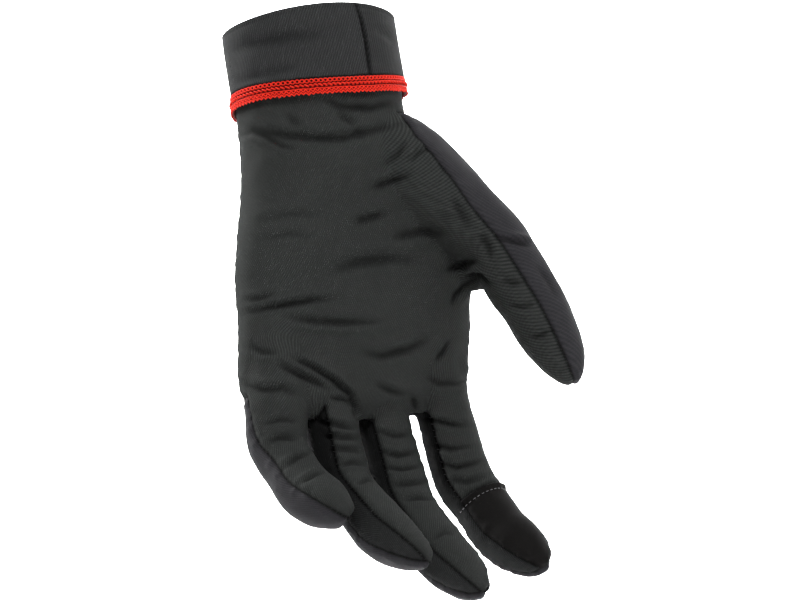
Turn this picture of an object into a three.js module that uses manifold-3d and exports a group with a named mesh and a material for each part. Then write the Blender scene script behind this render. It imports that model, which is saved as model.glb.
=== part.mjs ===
import * as THREE from 'three';
import { mergeVertices } from 'three/addons/utils/BufferGeometryUtils.js';
import Module from 'manifold-3d';

const wasm = await Module();
wasm.setup();

// A left-hand glove liner of thin stretch knit, worn shape: palm towards -Y, thumb towards +X,
// fingers down and a little curled. The origin is the centre of the opening, +Z along the wrist.

// Driving dimensions, in millimetres
const clothWall = 1.2;
const seamGap = 0.3;             // between neighbouring pieces
const cuffWidth = 69;            // across the opening
const cuffDepth = 51;            // palm side to back
const cuffHeight = 28.5;
const cuffWall = 2.4;            // the cuff cloth is folded double
const overlockHeight = 6.8;
const overlockWall = 1.3;
const flareStart = 0.4;          // it starts to stand off this far down, as a share of its height
const overlockFlare = 0.5;         // how far its free lower edge stands off
const rimCrown = 2;              // the rim dips this far at the sides
const rimSlant = 0.8;            // and its thumb side is higher than its middle by this
const edgeCrown = 3;             // and the lower edge rises this far there
const edgeSlant = 1.3;           // its thumb side is higher than its middle by this
const palmLength = 126;          // cuff edge to the webs of the fingers
const wristDrop = 13;            // cuff edge to the wrist, where the hand leans over
const wristLean = 1.6;           // degrees towards the thumb side
const palmWidth = 92;
const palmDepth = 34;
const indexLength = 97.7;        // knuckle to fingertip, along the finger
const middleLength = 108.1;
const ringLength = 102.9;
const littleLength = 83.1;
const thumbLength = 110.1;       // from the root of the thumb at the wrist
const indexWidth = 21.6;
const middleWidth = 20.6;
const ringWidth = 20.2;
const littleWidth = 20.4;
const thumbWidth = 25;
const fingerDepthShare = 0.98;   // depth of a finger against its width
const sideStripWidth = 10.5;     // strip sewn between the fingers
const stripFlare = 30;           // half the angle at which a strip opens round the finger
const stripMeet = 0.7;          // half the space between two strips at a fingertip
const padShare = 0.585;          // where the touch pad starts, as a share of the index finger

const degree = Math.PI / 180;
const cuffSides = 36;
const palmSides = 26;
const fingerSides = 10;
const chainSteps = 96;
const bendSpread = 0.14;         // a joint bends over this share of the finger's length

// Palm and wrist, a row for each section from the cuff edge to the webs. down: share of palmLength.
// palm: 0 takes the size of the cuff, 1 that of the palm. thumbSide, littleSide: reach of the two
// edges, front, back: depth of the two faces, all as shares of half the width or depth. square: 2 is an
// ellipse, more has fuller corners. lift: share of palmDepth. arch: how far the edges rise, share of
// palmLength. seam: degrees to the thumb-side seam.
const palmColumns = ['down', 'palm', 'thumbSide', 'littleSide', 'front', 'back', 'square', 'lift',
  'arch', 'seam'];
const palmRows = [
  [0.00, 0.00, 0.95, 0.95, 0.93, 0.93, 2.0, 0.00, 0.00, 14],
  [0.07, 0.00, 0.94, 0.962, 0.92, 0.92, 2.0, 0.00, 0.00, 16],
  [0.13, 0.10, 0.93, 0.95, 0.90, 0.90, 2.1, 0.00, 0.00, 20],
  [0.21, 0.30, 0.94, 0.935, 0.95, 0.92, 2.2, 0.02, 0.00, 24],
  [0.31, 0.58, 0.94, 0.93, 0.97, 0.94, 2.3, 0.03, 0.00, 12],
  [0.41, 0.80, 0.95, 0.96, 0.96, 0.95, 2.4, 0.04, 0.00, 2],
  [0.51, 0.95, 1.03, 0.99, 0.95, 0.94, 2.4, 0.05, 0.00, 0],
  [0.60, 1.00, 1.06, 1.02, 0.93, 0.92, 2.5, 0.06, 0.01, 0],
  [0.69, 1.00, 0.99, 1.05, 0.88, 0.86, 2.6, 0.07, 0.02, 0],
  [0.78, 1.00, 0.94, 1.09, 0.80, 0.78, 2.7, 0.08, 0.03, 6],
  [0.87, 1.00, 0.89, 1.12, 0.69, 0.68, 2.7, 0.09, 0.04, 9],
  [0.95, 1.00, 0.84, 1.11, 0.53, 0.53, 2.6, 0.10, 0.06, 9],
  [1.00, 1.00, 0.76, 1.02, 0.28, 0.28, 2.4, 0.11, 0.07, 9],
].map((row) => Object.fromEntries(row.map((value, i) => [palmColumns[i], value])));
const thumbSideArch = 0.4;       // how much of the arch the thumb side has
const littleSideSeam = 197;      // the side seam of the little-finger edge, in degrees round the palm

// The little finger: where its outer seam lies round it, in degrees, and its girth, at shares of its
// length
const littleSeams = [
  { at: 0.00, seam: 208 }, { at: 0.24, seam: 203 }, { at: 0.43, seam: 186 }, { at: 0.60, seam: 174 },
  { at: 1.00, seam: 173 },
];
const littleGirths = [
  { at: 0.00, width: 1.20 }, { at: 0.15, width: 1.14 }, { at: 0.30, width: 1.07 },
  { at: 0.45, width: 1.05 }, { at: 0.58, width: 0.98 }, { at: 0.70, width: 1.00 }, { at: 1.00, width: 0.94 },
];

// Fingers. across, down, lift: the knuckle, as shares of palmWidth, palmLength and palmDepth.
// spread, turn, bends: degrees. bones: shares of the length. tip: share that is rounded.
// seamTurn: how far the seams lie round towards the palm on the little-finger side, in degrees.
const fingers = [
  { name: 'index', length: indexLength, width: indexWidth, across: 0.283, down: 0.829, lift: 0.082,
    spread: 8.3, turn: 6.6, bends: [-2.5, 32.1, 21.4], bones: [0.468, 0.277, 0.255],
    tip: 0.20, seamTurn: -9 },
  { name: 'middle', length: middleLength, width: middleWidth, across: 0.039, down: 0.853, lift: -0.085,
    spread: -2.3, turn: 5.8, bends: [12.4, 29.4, 13.1], bones: [0.471, 0.288, 0.241],
    tip: 0.24, seamTurn: 4 },
  { name: 'ring', length: ringLength, width: ringWidth, across: -0.192, down: 0.813, lift: -0.024,
    spread: -6.7, turn: 12.6, bends: [11.2, 33.7, 14.6], bones: [0.454, 0.293, 0.253],
    tip: 0.30, seamTurn: 15 },
  { name: 'little', length: littleLength, width: littleWidth, across: -0.396, down: 0.746, lift: 0.097,
    spread: -11.8, turn: 26.5, bends: [-0.7, 33, 21.8], bones: [0.450, 0.263, 0.287],
    tip: 0.22, seamTurn: 7, outerSeams: littleSeams, girths: littleGirths },
];

// The thumb: its root, its heading (away from the hand, towards the palm) and how it flexes
const thumb = {
  name: 'thumb', length: thumbLength, width: thumbWidth, across: 0.260, down: 0.230, lift: 0.282,
  away: 35.9, forward: 15.5, roll: 5.8, bends: [0, 19.8, 6], bones: [0.433, 0.302, 0.265], tip: 0.32,
  backSeam: 176,
};

// Where the seam on the thumb's outer side lies round it, in degrees, at shares of the length
const thumbSeams = [
  { at: -0.17, seam: -60 }, { at: -0.06, seam: -20 }, { at: 0.00, seam: -4 }, { at: 0.10, seam: 2 },
  { at: 0.20, seam: 8 }, { at: 0.30, seam: 18 }, { at: 0.40, seam: 23 }, { at: 1.00, seam: 23 },
];

// Girth along a finger and along the thumb: at is a share of the length, width a share of the width
const fingerGirths = [
  { at: 0.00, width: 1.00 }, { at: 0.30, width: 0.98 }, { at: 0.45, width: 1.02 },
  { at: 0.58, width: 0.97 }, { at: 0.70, width: 1.00 }, { at: 1.00, width: 0.94 },
];
const thumbGirths = [
  { at: -0.17, width: 0.94 }, { at: 0.00, width: 1.36 }, { at: 0.20, width: 1.28 }, { at: 0.34, width: 1.13 },
  { at: 0.47, width: 1.04 }, { at: 0.62, width: 1.01 }, { at: 1.00, width: 0.96 },
];
const shaftStations = [0, 0.12, 0.24, 0.35, 0.43, 0.51, 0.60, 0.69];
const tipStations = [0, 0.4, 0.7, 0.9, 0.985];
const stripStations = [0.15, 0.24, 0.35, 0.43, 0.51, 0.60, 0.69, 0.80, 0.92, 1.04];
const padStations = [padShare, 0.72, 0.88, 1.04];
const rootReach = 6;             // how far a finger's tube runs back into the palm
const thumbRootReach = 18;       // and the thumb's into the wrist
const hollowReach = 5;           // how much further the hollows run back

const cutSwell = 2;              // and the wedges along the seams this far
const cutClearance = 0.4;        // the cutting shapes stand this far outside the cloth
const shortEdge = 0.1;           // slivers that the cuts leave are closed below this

const vec = (x, y, z) => new THREE.Vector3(x, y, z);

function lerpRows(rows, key, column, at) {
  let i = 0;
  while (i < rows.length - 2 && rows[i + 1][key] < at) i += 1;
  const a = rows[i];
  const b = rows[i + 1];
  const t = THREE.MathUtils.clamp((at - a[key]) / (b[key] - a[key]), 0, 1);
  return a[column] + (b[column] - a[column]) * t * t * (3 - 2 * t);
}

// A closed solid through rings of points, capped with fans at both ends
function solidFromRings(rings) {
  const count = rings[0].length;
  const points = rings.flat();
  const centre = (ring) => ring.reduce((sum, p) => sum.add(p), vec(0, 0, 0)).divideScalar(count);
  points.push(centre(rings[0]), centre(rings[rings.length - 1]));
  const faces = [];
  for (let i = 0; i < rings.length - 1; i += 1) {
    for (let j = 0; j < count; j += 1) {
      const a = i * count + j;
      const b = i * count + ((j + 1) % count);
      faces.push([a, b, b + count], [a, b + count, a + count]);
    }
  }
  const last = (rings.length - 1) * count;
  for (let j = 0; j < count; j += 1) {
    const k = (j + 1) % count;
    faces.push([points.length - 2, k, j], [points.length - 1, last + j, last + k]);
  }
  return solidFromFaces(points, faces);
}

// A ring that closes on itself, such as the cuff, from the same profile at each step round
function solidFromLoop(sections) {
  const count = sections[0].length;
  const faces = [];
  for (let i = 0; i < sections.length; i += 1) {
    const next = (i + 1) % sections.length;
    for (let j = 0; j < count; j += 1) {
      const k = (j + 1) % count;
      faces.push([i * count + j, next * count + j, next * count + k]);
      faces.push([i * count + j, next * count + k, i * count + k]);
    }
  }
  return solidFromFaces(sections.flat(), faces);
}

function solidFromFaces(points, faces) {
  let volume = 0;
  for (const [a, b, c] of faces) {
    volume += points[a].dot(vec(0, 0, 0).crossVectors(points[b], points[c]));
  }
  const order = volume < 0 ? faces.map(([a, b, c]) => [a, c, b]) : faces;
  let geometry = new THREE.BufferGeometry();
  const position = new Float32Array(points.flatMap((p) => [p.x, p.y, p.z]));
  geometry.setAttribute('position', new THREE.BufferAttribute(position, 3));
  geometry.setIndex(order.flat());
  geometry = mergeVertices(geometry, 1e-5);
  return new wasm.Manifold(new wasm.Mesh({
    numProp: 3,
    vertProperties: new Float32Array(geometry.attributes.position.array),
    triVerts: new Uint32Array(geometry.index.array),
  }));
}

// The curve of a finger: a chain of three bones that bends in one plane
function makeChain({ root, heading, flex, side, length, bones, bends }) {
  const joints = [0, bones[0] * length, (bones[0] + bones[1]) * length];
  const softness = bendSpread * length;
  const bendAt = (s) => joints.reduce((sum, joint, i) => {
    const t = THREE.MathUtils.clamp((s - joint) / softness + 0.5, 0, 1);
    return sum + bends[i] * degree * t * t * (3 - 2 * t);
  }, 0);
  const tangentAt = (s) => {
    const angle = bendAt(s);
    return heading.clone().multiplyScalar(Math.cos(angle)).addScaledVector(flex, Math.sin(angle));
  };
  const step = length / chainSteps;
  const path = [root.clone()];
  for (let i = 0; i < chainSteps; i += 1) {
    path.push(path[i].clone().addScaledVector(tangentAt((i + 0.5) * step), step));
  }
  // Where the chain is at s, with its tangent and the direction of the palm side there
  return (s) => {
    const i = THREE.MathUtils.clamp(Math.floor(s / step), 0, chainSteps);
    const tangent = tangentAt(s);
    const centre = path[i].clone().addScaledVector(tangent, s - i * step);
    const palm = vec(0, 0, 0).crossVectors(side, tangent).normalize();
    if (palm.dot(flex) < 0) palm.negate();
    return { centre, tangent, side, palm };
  };
}

// Below the wrist the hand leans over; above it the cuff stands upright
const leanAxis = vec(0, 1, 0);
const wrist = vec(0, 0, -cuffHeight - wristDrop);
const leanVector = (v, share = 1) => v.applyAxisAngle(leanAxis, -wristLean * share * degree);

function handPoint(x, y, down, rise = 0) {
  const below = down - wristDrop;
  const share = THREE.MathUtils.smoothstep(below, -wristDrop, wristDrop);
  const along = leanVector(vec(0, 0, -Math.abs(below)), below > 0 ? 1 : 0);
  if (below < 0) along.negate();
  return wrist.clone().add(along).add(leanVector(vec(x, y, rise), share));
}

const knuckle = (row) => handPoint(row.across * palmWidth, -row.lift * palmDepth, row.down * palmLength);

function fingerLimb(row) {
  const turn = row.turn * degree;
  const spread = row.spread * degree;
  const flex = leanVector(vec(Math.sin(turn), -Math.cos(turn), 0));
  const across = leanVector(vec(Math.cos(turn), Math.sin(turn), 0));
  const down = leanVector(vec(0, 0, -1));
  const heading = down.clone().multiplyScalar(Math.cos(spread)).addScaledVector(across, Math.sin(spread));
  const side = across.clone().multiplyScalar(Math.cos(spread)).addScaledVector(down, -Math.sin(spread));
  const at = makeChain({ ...row, root: knuckle(row), heading, flex, side });
  const backSeam = 180 - row.seamTurn;
  return { girths: fingerGirths, outerSeams: [{ at: 0, seam: backSeam }, { at: 1, seam: backSeam }], ...row,
    at, rootReach, depthShare: fingerDepthShare, frontSeamAt: () => -row.seamTurn };
}

function thumbLimb(row) {
  const [away, forward, roll] = [row.away * degree, row.forward * degree, row.roll * degree];
  const heading = leanVector(vec(Math.sin(away) * Math.cos(forward), -Math.sin(forward),
    -Math.cos(away) * Math.cos(forward)));
  const inward = vec(0, 0, 0).crossVectors(heading, vec(0, -1, 0)).normalize();
  if (inward.x > 0) inward.negate();
  const toPalm = vec(0, 0, 0).crossVectors(heading, inward).normalize();
  if (toPalm.y > 0) toPalm.negate();
  const flex = inward.clone().multiplyScalar(Math.cos(roll)).addScaledVector(toPalm, Math.sin(roll));
  const side = vec(0, 0, 0).crossVectors(heading, flex).normalize();
  if (side.y > 0) side.negate();
  const at = makeChain({ ...row, root: knuckle(row), heading, flex, side });
  const frontSeamAt = (s) => lerpRows(thumbSeams, 'at', 'seam', s / row.length);
  const outerSeams = [{ at: 0, seam: row.backSeam }, { at: 1, seam: row.backSeam }];
  return { ...row, at, rootReach: thumbRootReach, girths: thumbGirths, depthShare: 1, frontSeamAt, outerSeams };
}

// Stations from the root to the tip, with the half-width there
function limbStations(limb, inset) {
  const reach = limb.rootReach + (inset > 0 ? hollowReach : 0);
  const length = limb.length - inset;
  const tipStart = limb.length * (1 - limb.tip);
  const tipLength = length - tipStart;
  const halfWidth = (s) => lerpRows(limb.girths, 'at', 'width', s / limb.length) * limb.width / 2 - inset;
  const shaft = [-reach, ...shaftStations.map((share) => share * limb.length)]
    .filter((s) => s < tipStart - 1);
  const stations = shaft.map((s) => ({ s, half: halfWidth(s) }));
  for (const t of tipStations) {
    const s = tipStart + t * tipLength;
    stations.push({ s, half: halfWidth(s) * Math.sqrt(1 - t * t) });
  }
  return stations;
}

function limbPoint(place, half, depthShare, angle, shift = 0) {
  return place.centre.clone()
    .addScaledVector(place.side, half * Math.cos(angle))
    .addScaledVector(place.palm, half * depthShare * Math.sin(angle) - shift);
}

// The whole tube of a finger or thumb; inset makes the hollow inside it
function limbTube(limb, inset = 0) {
  return solidFromRings(limbStations(limb, inset).map(({ s, half }) => {
    const place = limb.at(s);
    return Array.from({ length: fingerSides }, (_, j) => (
      limbPoint(place, half, limb.depthShare, (j + 0.5) * 2 * Math.PI / fingerSides)));
  }));
}

// The part of the tube that the palm panel covers, from one seam over the palm side to the other.
// margin moves the seams away from the palm panel.
function limbPalmHalf(limb, margin) {
  const steps = fingerSides / 2;
  return solidFromRings(limbStations(limb, 0).map(({ s, half }) => {
    const place = limb.at(s);
    const from = limb.frontSeamAt(s) * degree;
    const to = lerpRows(limb.outerSeams, 'at', 'seam', s / limb.length) * degree;
    const widen = Math.min(margin / Math.max(half, 1), 0.5);
    const arc = Array.from({ length: steps + 1 }, (_, j) => (
      limbPoint(place, half + cutSwell, limb.depthShare,
        from - widen + (to - from + 2 * widen) * j / steps)));
    const middle = (from + to) / 2;
    arc.push(place.centre.clone()
      .addScaledVector(place.side, -margin * Math.cos(middle))
      .addScaledVector(place.palm, -margin * Math.sin(middle)));
    return arc;
  }));
}

// How far the lower edge of the cuff, and what is sewn to it, lies above its lowest place
function edgeRise(angle, down = 0) {
  const fade = Math.max(0, 1 - down / (2 * wristDrop));
  return fade * (edgeCrown * Math.cos(angle) ** 2 + edgeSlant * Math.cos(angle));
}

// The palm and wrist body, its hollow, and the half that the palm panel covers
function palmSection(row, inset) {
  const half = (column, cuffSize, palmSize) => (
    (cuffSize + (palmSize - cuffSize) * row.palm) / 2 * row[column] - inset);
  const thumbSide = half('thumbSide', cuffWidth, palmWidth);
  const littleSide = half('littleSide', cuffWidth, palmWidth);
  return {
    wide: (thumbSide + littleSide) / 2,
    x: (thumbSide - littleSide) / 2,
    front: half('front', cuffDepth, palmDepth),
    back: half('back', cuffDepth, palmDepth),
    y: -row.lift * palmDepth,
    down: seamGap + row.down * (palmLength - seamGap),
    arch: row.arch * palmLength,
    power: 2 / row.square,
    seam: row.seam * degree,
  };
}

function palmPoint(section, angle, swell = 0) {
  const fuller = (value) => Math.sign(value) * Math.abs(value) ** section.power;
  const across = fuller(Math.cos(angle));
  const forward = fuller(Math.sin(angle));
  const depth = forward > 0 ? section.front : section.back;
  const rise = section.arch * across * across * (across < 0 ? 1 : thumbSideArch);
  return handPoint(section.x + (section.wide + swell) * across,
    section.y - (depth + swell) * forward, section.down - edgeRise(angle, section.down), rise);
}

function palmBody(inset = 0) {
  return solidFromRings(palmRows.map((row, i) => {
    const section = palmSection(row, inset);
    if (inset > 0 && i === 0) section.down -= 1;
    if (inset > 0 && i === palmRows.length - 1) section.down -= inset;
    const angles = Array.from({ length: palmSides }, (_, j) => (j + 0.5) * 2 * Math.PI / palmSides);
    return angles.map((angle) => palmPoint(section, angle));
  }));
}

function palmFrontHalf(margin) {
  const steps = palmSides / 2;
  return solidFromRings(palmRows.map((row, i) => {
    const section = palmSection(row, 0);
    if (i === 0) section.down -= 1;
    if (i === palmRows.length - 1) section.down += 1;
    const widen = 2 * margin / palmDepth;
    const from = section.seam - widen;
    const to = littleSideSeam * degree + widen;
    const arc = Array.from({ length: steps + 1 }, (_, j) => (
      palmPoint(section, from + (to - from) * j / steps, cutSwell)));
    arc.push(handPoint(section.x, section.y + margin, section.down));
    return arc;
  }));
}

// The space of the strip between two neighbouring fingers: a wedge out of each fingertip's middle,
// joined across the gap. grow widens it all round.
function stripSpace(outer, inner, grow) {
  const halfStrip = sideStripWidth / 2;
  const shoulder = halfStrip / Math.tan(stripFlare * degree);
  return solidFromRings(stripStations.map((share, i) => {
    const back = i === 0 ? 2 * grow : 0;
    const [a, b] = [[outer, 1], [inner, -1]].map(([limb, sign]) => {
      const place = limb.at(share * limb.length - back);
      const turn = limb.seamTurn * degree;
      const towards = place.side.clone().multiplyScalar(sign * Math.cos(turn))
        .addScaledVector(place.palm, -sign * Math.sin(turn));
      const up = place.palm.clone().multiplyScalar(Math.cos(turn))
        .addScaledVector(place.side, Math.sin(turn));
      const corner = (along, rise) => place.centre.clone()
        .addScaledVector(towards, along).addScaledVector(up, rise);
      return {
        top: corner(shoulder, halfStrip + grow),
        apexTop: corner(stripMeet - grow, grow),
        apexBottom: corner(stripMeet - grow, -grow),
        bottom: corner(shoulder, -halfStrip - grow),
      };
    });
    return [a.apexTop, a.top, b.top, b.apexTop, b.apexBottom, b.bottom, a.bottom, a.apexBottom];
  }));
}

// The space beyond the pad seam of the index finger, on its palm side
function padSpace(limb, grow) {
  const places = padStations.map((share, i) => share * limb.length - (i === 0 ? grow : 0));
  const rings = places.map((s) => {
    const place = limb.at(s);
    const reach = limb.width;
    return [[-1, -1], [1, -1], [1, 1], [-1, 1]].map(([across, rise]) => place.centre.clone()
      .addScaledVector(place.side, across * reach).addScaledVector(place.palm, rise * reach));
  });
  return solidFromRings(rings);
}

const joinAll = (solids) => solids.reduce((sum, solid) => sum.add(solid));

// A band round the wrist from a profile of [outward, height, share of the rim's rise] points
function wristBand(profile) {
  return solidFromLoop(Array.from({ length: cuffSides }, (_, i) => {
    const angle = i * 2 * Math.PI / cuffSides;
    const rimDip = rimCrown * Math.cos(angle) ** 2 - rimSlant * Math.cos(angle);
    return profile.map(([out, z, rim]) => vec(
      (cuffWidth / 2 + out) * Math.cos(angle), (cuffDepth / 2 + out) * Math.sin(angle),
      z - rim * rimDip + (1 - rim) * edgeRise(angle)));
  }));
}

function makeCuff() {
  const round = cuffWall / 2;
  const fold = [180, 144, 108, 72, 36, 0].map((turn) => (
    [-round + round * Math.cos(turn * degree), -round + round * Math.sin(turn * degree), 1]));
  return wristBand([[-cuffWall, -cuffHeight, 0], ...fold, [0, -cuffHeight, 0]]);
}

function makeOverlock() {
  const top = -cuffHeight - seamGap;
  const bottom = top - overlockHeight;
  return wristBand([
    [-overlockWall, top, 0], [0, top, 0], [0, top - flareStart * overlockHeight, 0],
    [overlockFlare, bottom, 0], [overlockFlare - overlockWall, bottom, 0],
  ]);
}

const limbs = fingers.map(fingerLimb);
const thumbTube = thumbLimb(thumb);
const allLimbs = [...limbs, thumbTube];
const [indexLimb, middleLimb, ringLimb, littleLimb] = limbs;
const stripPairs = [
  { name: 'index_middle_strip', outer: middleLimb, inner: indexLimb },
  { name: 'middle_ring_strip', outer: ringLimb, inner: middleLimb },
  { name: 'ring_little_strip', outer: littleLimb, inner: ringLimb },
];

const outside = joinAll([palmBody(), ...allLimbs.map((limb) => limbTube(limb))]);
const hollow = joinAll([palmBody(clothWall), ...allLimbs.map((limb) => limbTube(limb, clothWall))]);
const shell = outside.subtract(hollow);
const stripSpaces = (grow) => joinAll(stripPairs.map(({ outer, inner }) => stripSpace(outer, inner, grow)));
const palmSide = (margin) => joinAll([
  palmBody(-cutClearance).intersect(palmFrontHalf(margin)),
  ...allLimbs.map((limb) => limbTube(limb, -cutClearance).intersect(limbPalmHalf(limb, margin))),
]);
const betweenStrips = shell.subtract(stripSpaces(seamGap));
const palmPanelWhole = betweenStrips.intersect(palmSide(0));

// Cloth colours
const charcoal = new THREE.MeshStandardMaterial({ color: 0x353737, roughness: 0.9, metalness: 0 });
const backCharcoal = new THREE.MeshStandardMaterial({ color: 0x37363a, roughness: 0.8, metalness: 0 });
const redThread = new THREE.MeshStandardMaterial({ color: 0xd8301f, roughness: 0.7, metalness: 0 });
const padBlack = new THREE.MeshStandardMaterial({ color: 0x1c1a18, roughness: 0.6, metalness: 0 });

// Of what the cuts leave, the largest closed body is the piece; the rest is waste
function largestBody(tris) {
  const owner = tris.map((_, i) => i);
  const find = (i) => {
    let root = i;
    while (owner[root] !== root) root = owner[root];
    owner[i] = root;
    return root;
  };
  const users = new Map();
  tris.forEach((tri, i) => tri.forEach((from, side) => {
    const to = tri[(side + 1) % 3];
    const edge = `${Math.min(from, to)} ${Math.max(from, to)}`;
    users.set(edge, [...(users.get(edge) ?? []), i]);
  }));
  for (const pair of users.values()) {
    if (pair.length === 2) owner[find(pair[0])] = find(pair[1]);
  }
  const bodies = new Map();
  tris.forEach((tri, i) => bodies.set(find(i), [...(bodies.get(find(i)) ?? []), tri]));
  return [...bodies.values()].sort((a, b) => b.length - a.length)[0];
}

// Cuts leave slivers: an edge shorter than the limit is closed where the surface stays whole
function closeShortEdges(points, tris, limit) {
  const around = new Map();
  const live = new Set(tris);
  for (const tri of tris) {
    for (const corner of tri) {
      if (!around.has(corner)) around.set(corner, new Set());
      around.get(corner).add(tri);
    }
  }
  const neighbours = (corner) => new Set([...around.get(corner)].flat().filter((other) => other !== corner));
  for (const tri of tris) {
    for (let side = 0; side < 3 && live.has(tri); side += 1) {
      const [keep, drop] = [tri[side], tri[(side + 1) % 3]];
      if (points[keep].distanceTo(points[drop]) < limit) {
        const shared = [...neighbours(keep)].filter((corner) => neighbours(drop).has(corner));
        if (shared.length === 2) {
          for (const other of [...around.get(drop)]) {
            if (other.includes(keep)) {
              live.delete(other);
              other.forEach((corner) => around.get(corner).delete(other));
            } else {
              other[other.indexOf(drop)] = keep;
              around.get(keep).add(other);
            }
          }
          around.delete(drop);
        }
      }
    }
  }
  return [...live];
}

function pieceMesh(name, solid, material) {
  const { vertProperties, triVerts } = solid.getMesh();
  const points = Array.from({ length: vertProperties.length / 3 }, (_, i) => (
    vec().fromArray(vertProperties, 3 * i)));
  const firstAt = new Map();
  points.forEach((p, i) => {
    const spot = p.toArray().map((value) => value.toFixed(4)).join(' ');
    if (!firstAt.has(spot)) firstAt.set(spot, i);
    p.first = firstAt.get(spot);
  });
  const corners = Array.from(triVerts, (corner) => points[corner].first);
  const tris = Array.from({ length: corners.length / 3 }, (_, i) => corners.slice(3 * i, 3 * i + 3))
    .filter(([a, b, c]) => a !== b && b !== c && c !== a);
  const body = largestBody(closeShortEdges(points, largestBody(tris), shortEdge));
  const geometry = new THREE.BufferGeometry().setFromPoints(body.flat().map((corner) => points[corner]));
  geometry.computeVertexNormals();
  const piece = new THREE.Mesh(geometry, material);
  piece.name = name;
  return piece;
}

const glove = new THREE.Group();
glove.add(pieceMesh('cuff', makeCuff(), charcoal));
glove.add(pieceMesh('cuff_overlock', makeOverlock(), redThread));
const padPlace = (grow) => padSpace(indexLimb, grow).intersect(limbTube(indexLimb, -cutClearance));
glove.add(pieceMesh('palm_panel', palmPanelWhole.subtract(padPlace(seamGap)), charcoal));
glove.add(pieceMesh('back_panel', betweenStrips.subtract(palmSide(seamGap)), backCharcoal));
glove.add(pieceMesh('index_touch_pad', palmPanelWhole.intersect(padPlace(0)), padBlack));
for (const { name, outer, inner } of stripPairs) {
  glove.add(pieceMesh(name, shell.intersect(stripSpace(outer, inner, 0)), charcoal));
}

export default glove;
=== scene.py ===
import math

import bpy
import numpy as np
from mathutils import Matrix, Vector, kdtree


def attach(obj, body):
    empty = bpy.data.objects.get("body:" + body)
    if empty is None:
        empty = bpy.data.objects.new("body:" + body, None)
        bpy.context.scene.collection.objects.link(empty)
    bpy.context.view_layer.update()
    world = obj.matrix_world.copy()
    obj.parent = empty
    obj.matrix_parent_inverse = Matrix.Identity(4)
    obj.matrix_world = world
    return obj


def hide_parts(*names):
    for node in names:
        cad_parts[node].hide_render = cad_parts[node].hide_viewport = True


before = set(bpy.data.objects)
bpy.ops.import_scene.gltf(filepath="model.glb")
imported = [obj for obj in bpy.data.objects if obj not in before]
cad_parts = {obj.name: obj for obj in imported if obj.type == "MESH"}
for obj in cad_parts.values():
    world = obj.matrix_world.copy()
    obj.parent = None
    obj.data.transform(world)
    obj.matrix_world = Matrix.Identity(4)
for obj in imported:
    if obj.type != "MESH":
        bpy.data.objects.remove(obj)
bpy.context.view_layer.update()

mm = 0.001
rng = np.random.default_rng(11)
bpy.ops.object.select_all(action="DESELECT")

# Camera at the photograph's angle
shot = {"azimuth": -28.2, "elevation": -9.9, "roll": -8.4, "target": (25.3, 7.3, -107.1), "away": 1.0, "lens": 119.3}
azimuth, elevation, roll = (math.radians(shot[key]) for key in ("azimuth", "elevation", "roll"))
back = Vector((math.sin(azimuth) * math.cos(elevation), -math.cos(azimuth) * math.cos(elevation), math.sin(elevation)))
right = Vector((0, 0, 1)).cross(back).normalized()
up = back.cross(right)
turned = Matrix.Rotation(roll, 3, back)
right, up = turned @ right, turned @ up
bpy.ops.object.camera_add()
camera = bpy.context.active_object
camera.data.lens = shot["lens"]
camera.data.sensor_width = 36
camera.data.clip_start = 0.01
place = Vector(shot["target"]) * mm + back * shot["away"]
camera.matrix_world = Matrix.Translation(place) @ Matrix((right, up, back)).transposed().to_4x4()
bpy.context.scene.camera = camera
bpy.context.scene.view_settings.view_transform = "Standard"


# Where a point in millimetres lies in the 800 by 600 picture
def inPicture(points):
    away = points - np.array(shot["target"])
    scale = shot["lens"] / 36 * 800 / 1000 / (shot["away"] - away @ np.array(back) / 1000)
    return np.stack([400 + scale * (away @ np.array(right)), 300 - scale * (away @ np.array(up))], -1)


# The hand shape, in millimetres and degrees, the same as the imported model
hand = {
    "cuffWidth": 69, "cuffDepth": 51, "cuffHeight": 28.5, "rimCrown": 2, "rimSlant": 0.8, "edgeCrown": 3, "edgeSlant": 1.3,
    "palmLength": 126, "wristDrop": 13, "wristLean": 1.6, "palmWidth": 92, "palmDepth": 34,
    "voxel": 0.8, "softenWebs": 14, "softenKnuckles": 60, "clothThickness": 0.9,
}

# down the palm: share of the length, cuff size to palm size, thumb side, little side, front, back,
# squareness, lift, arch, angle of the thumb side seam
palmRows = [
    (0.00, 0.00, 0.95, 0.95, 0.93, 0.93, 2.0, 0.00, 0.00, 14),
    (0.07, 0.00, 0.94, 0.962, 0.92, 0.92, 2.0, 0.00, 0.00, 16),
    (0.13, 0.10, 0.93, 0.95, 0.90, 0.90, 2.1, 0.00, 0.00, 20),
    (0.21, 0.30, 0.94, 0.935, 0.95, 0.92, 2.2, 0.02, 0.00, 24),
    (0.31, 0.58, 0.94, 0.93, 0.97, 0.94, 2.3, 0.03, 0.00, 12),
    (0.41, 0.80, 0.95, 0.96, 0.96, 0.95, 2.4, 0.04, 0.00, 2),
    (0.51, 0.95, 1.03, 0.99, 0.95, 0.94, 2.4, 0.05, 0.00, 0),
    (0.60, 1.00, 1.06, 1.02, 0.93, 0.92, 2.5, 0.06, 0.01, 0),
    (0.69, 1.00, 0.99, 1.05, 0.88, 0.86, 2.6, 0.07, 0.02, 0),
    (0.78, 1.00, 0.94, 1.09, 0.80, 0.78, 2.7, 0.08, 0.03, 6),
    (0.87, 1.00, 0.89, 1.12, 0.69, 0.68, 2.7, 0.09, 0.04, 9),
    (0.95, 1.00, 0.84, 1.11, 0.53, 0.53, 2.6, 0.10, 0.06, 9),
    (1.00, 1.00, 0.76, 1.02, 0.28, 0.28, 2.4, 0.11, 0.07, 9),
]
littleSideSeam = 197

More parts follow.
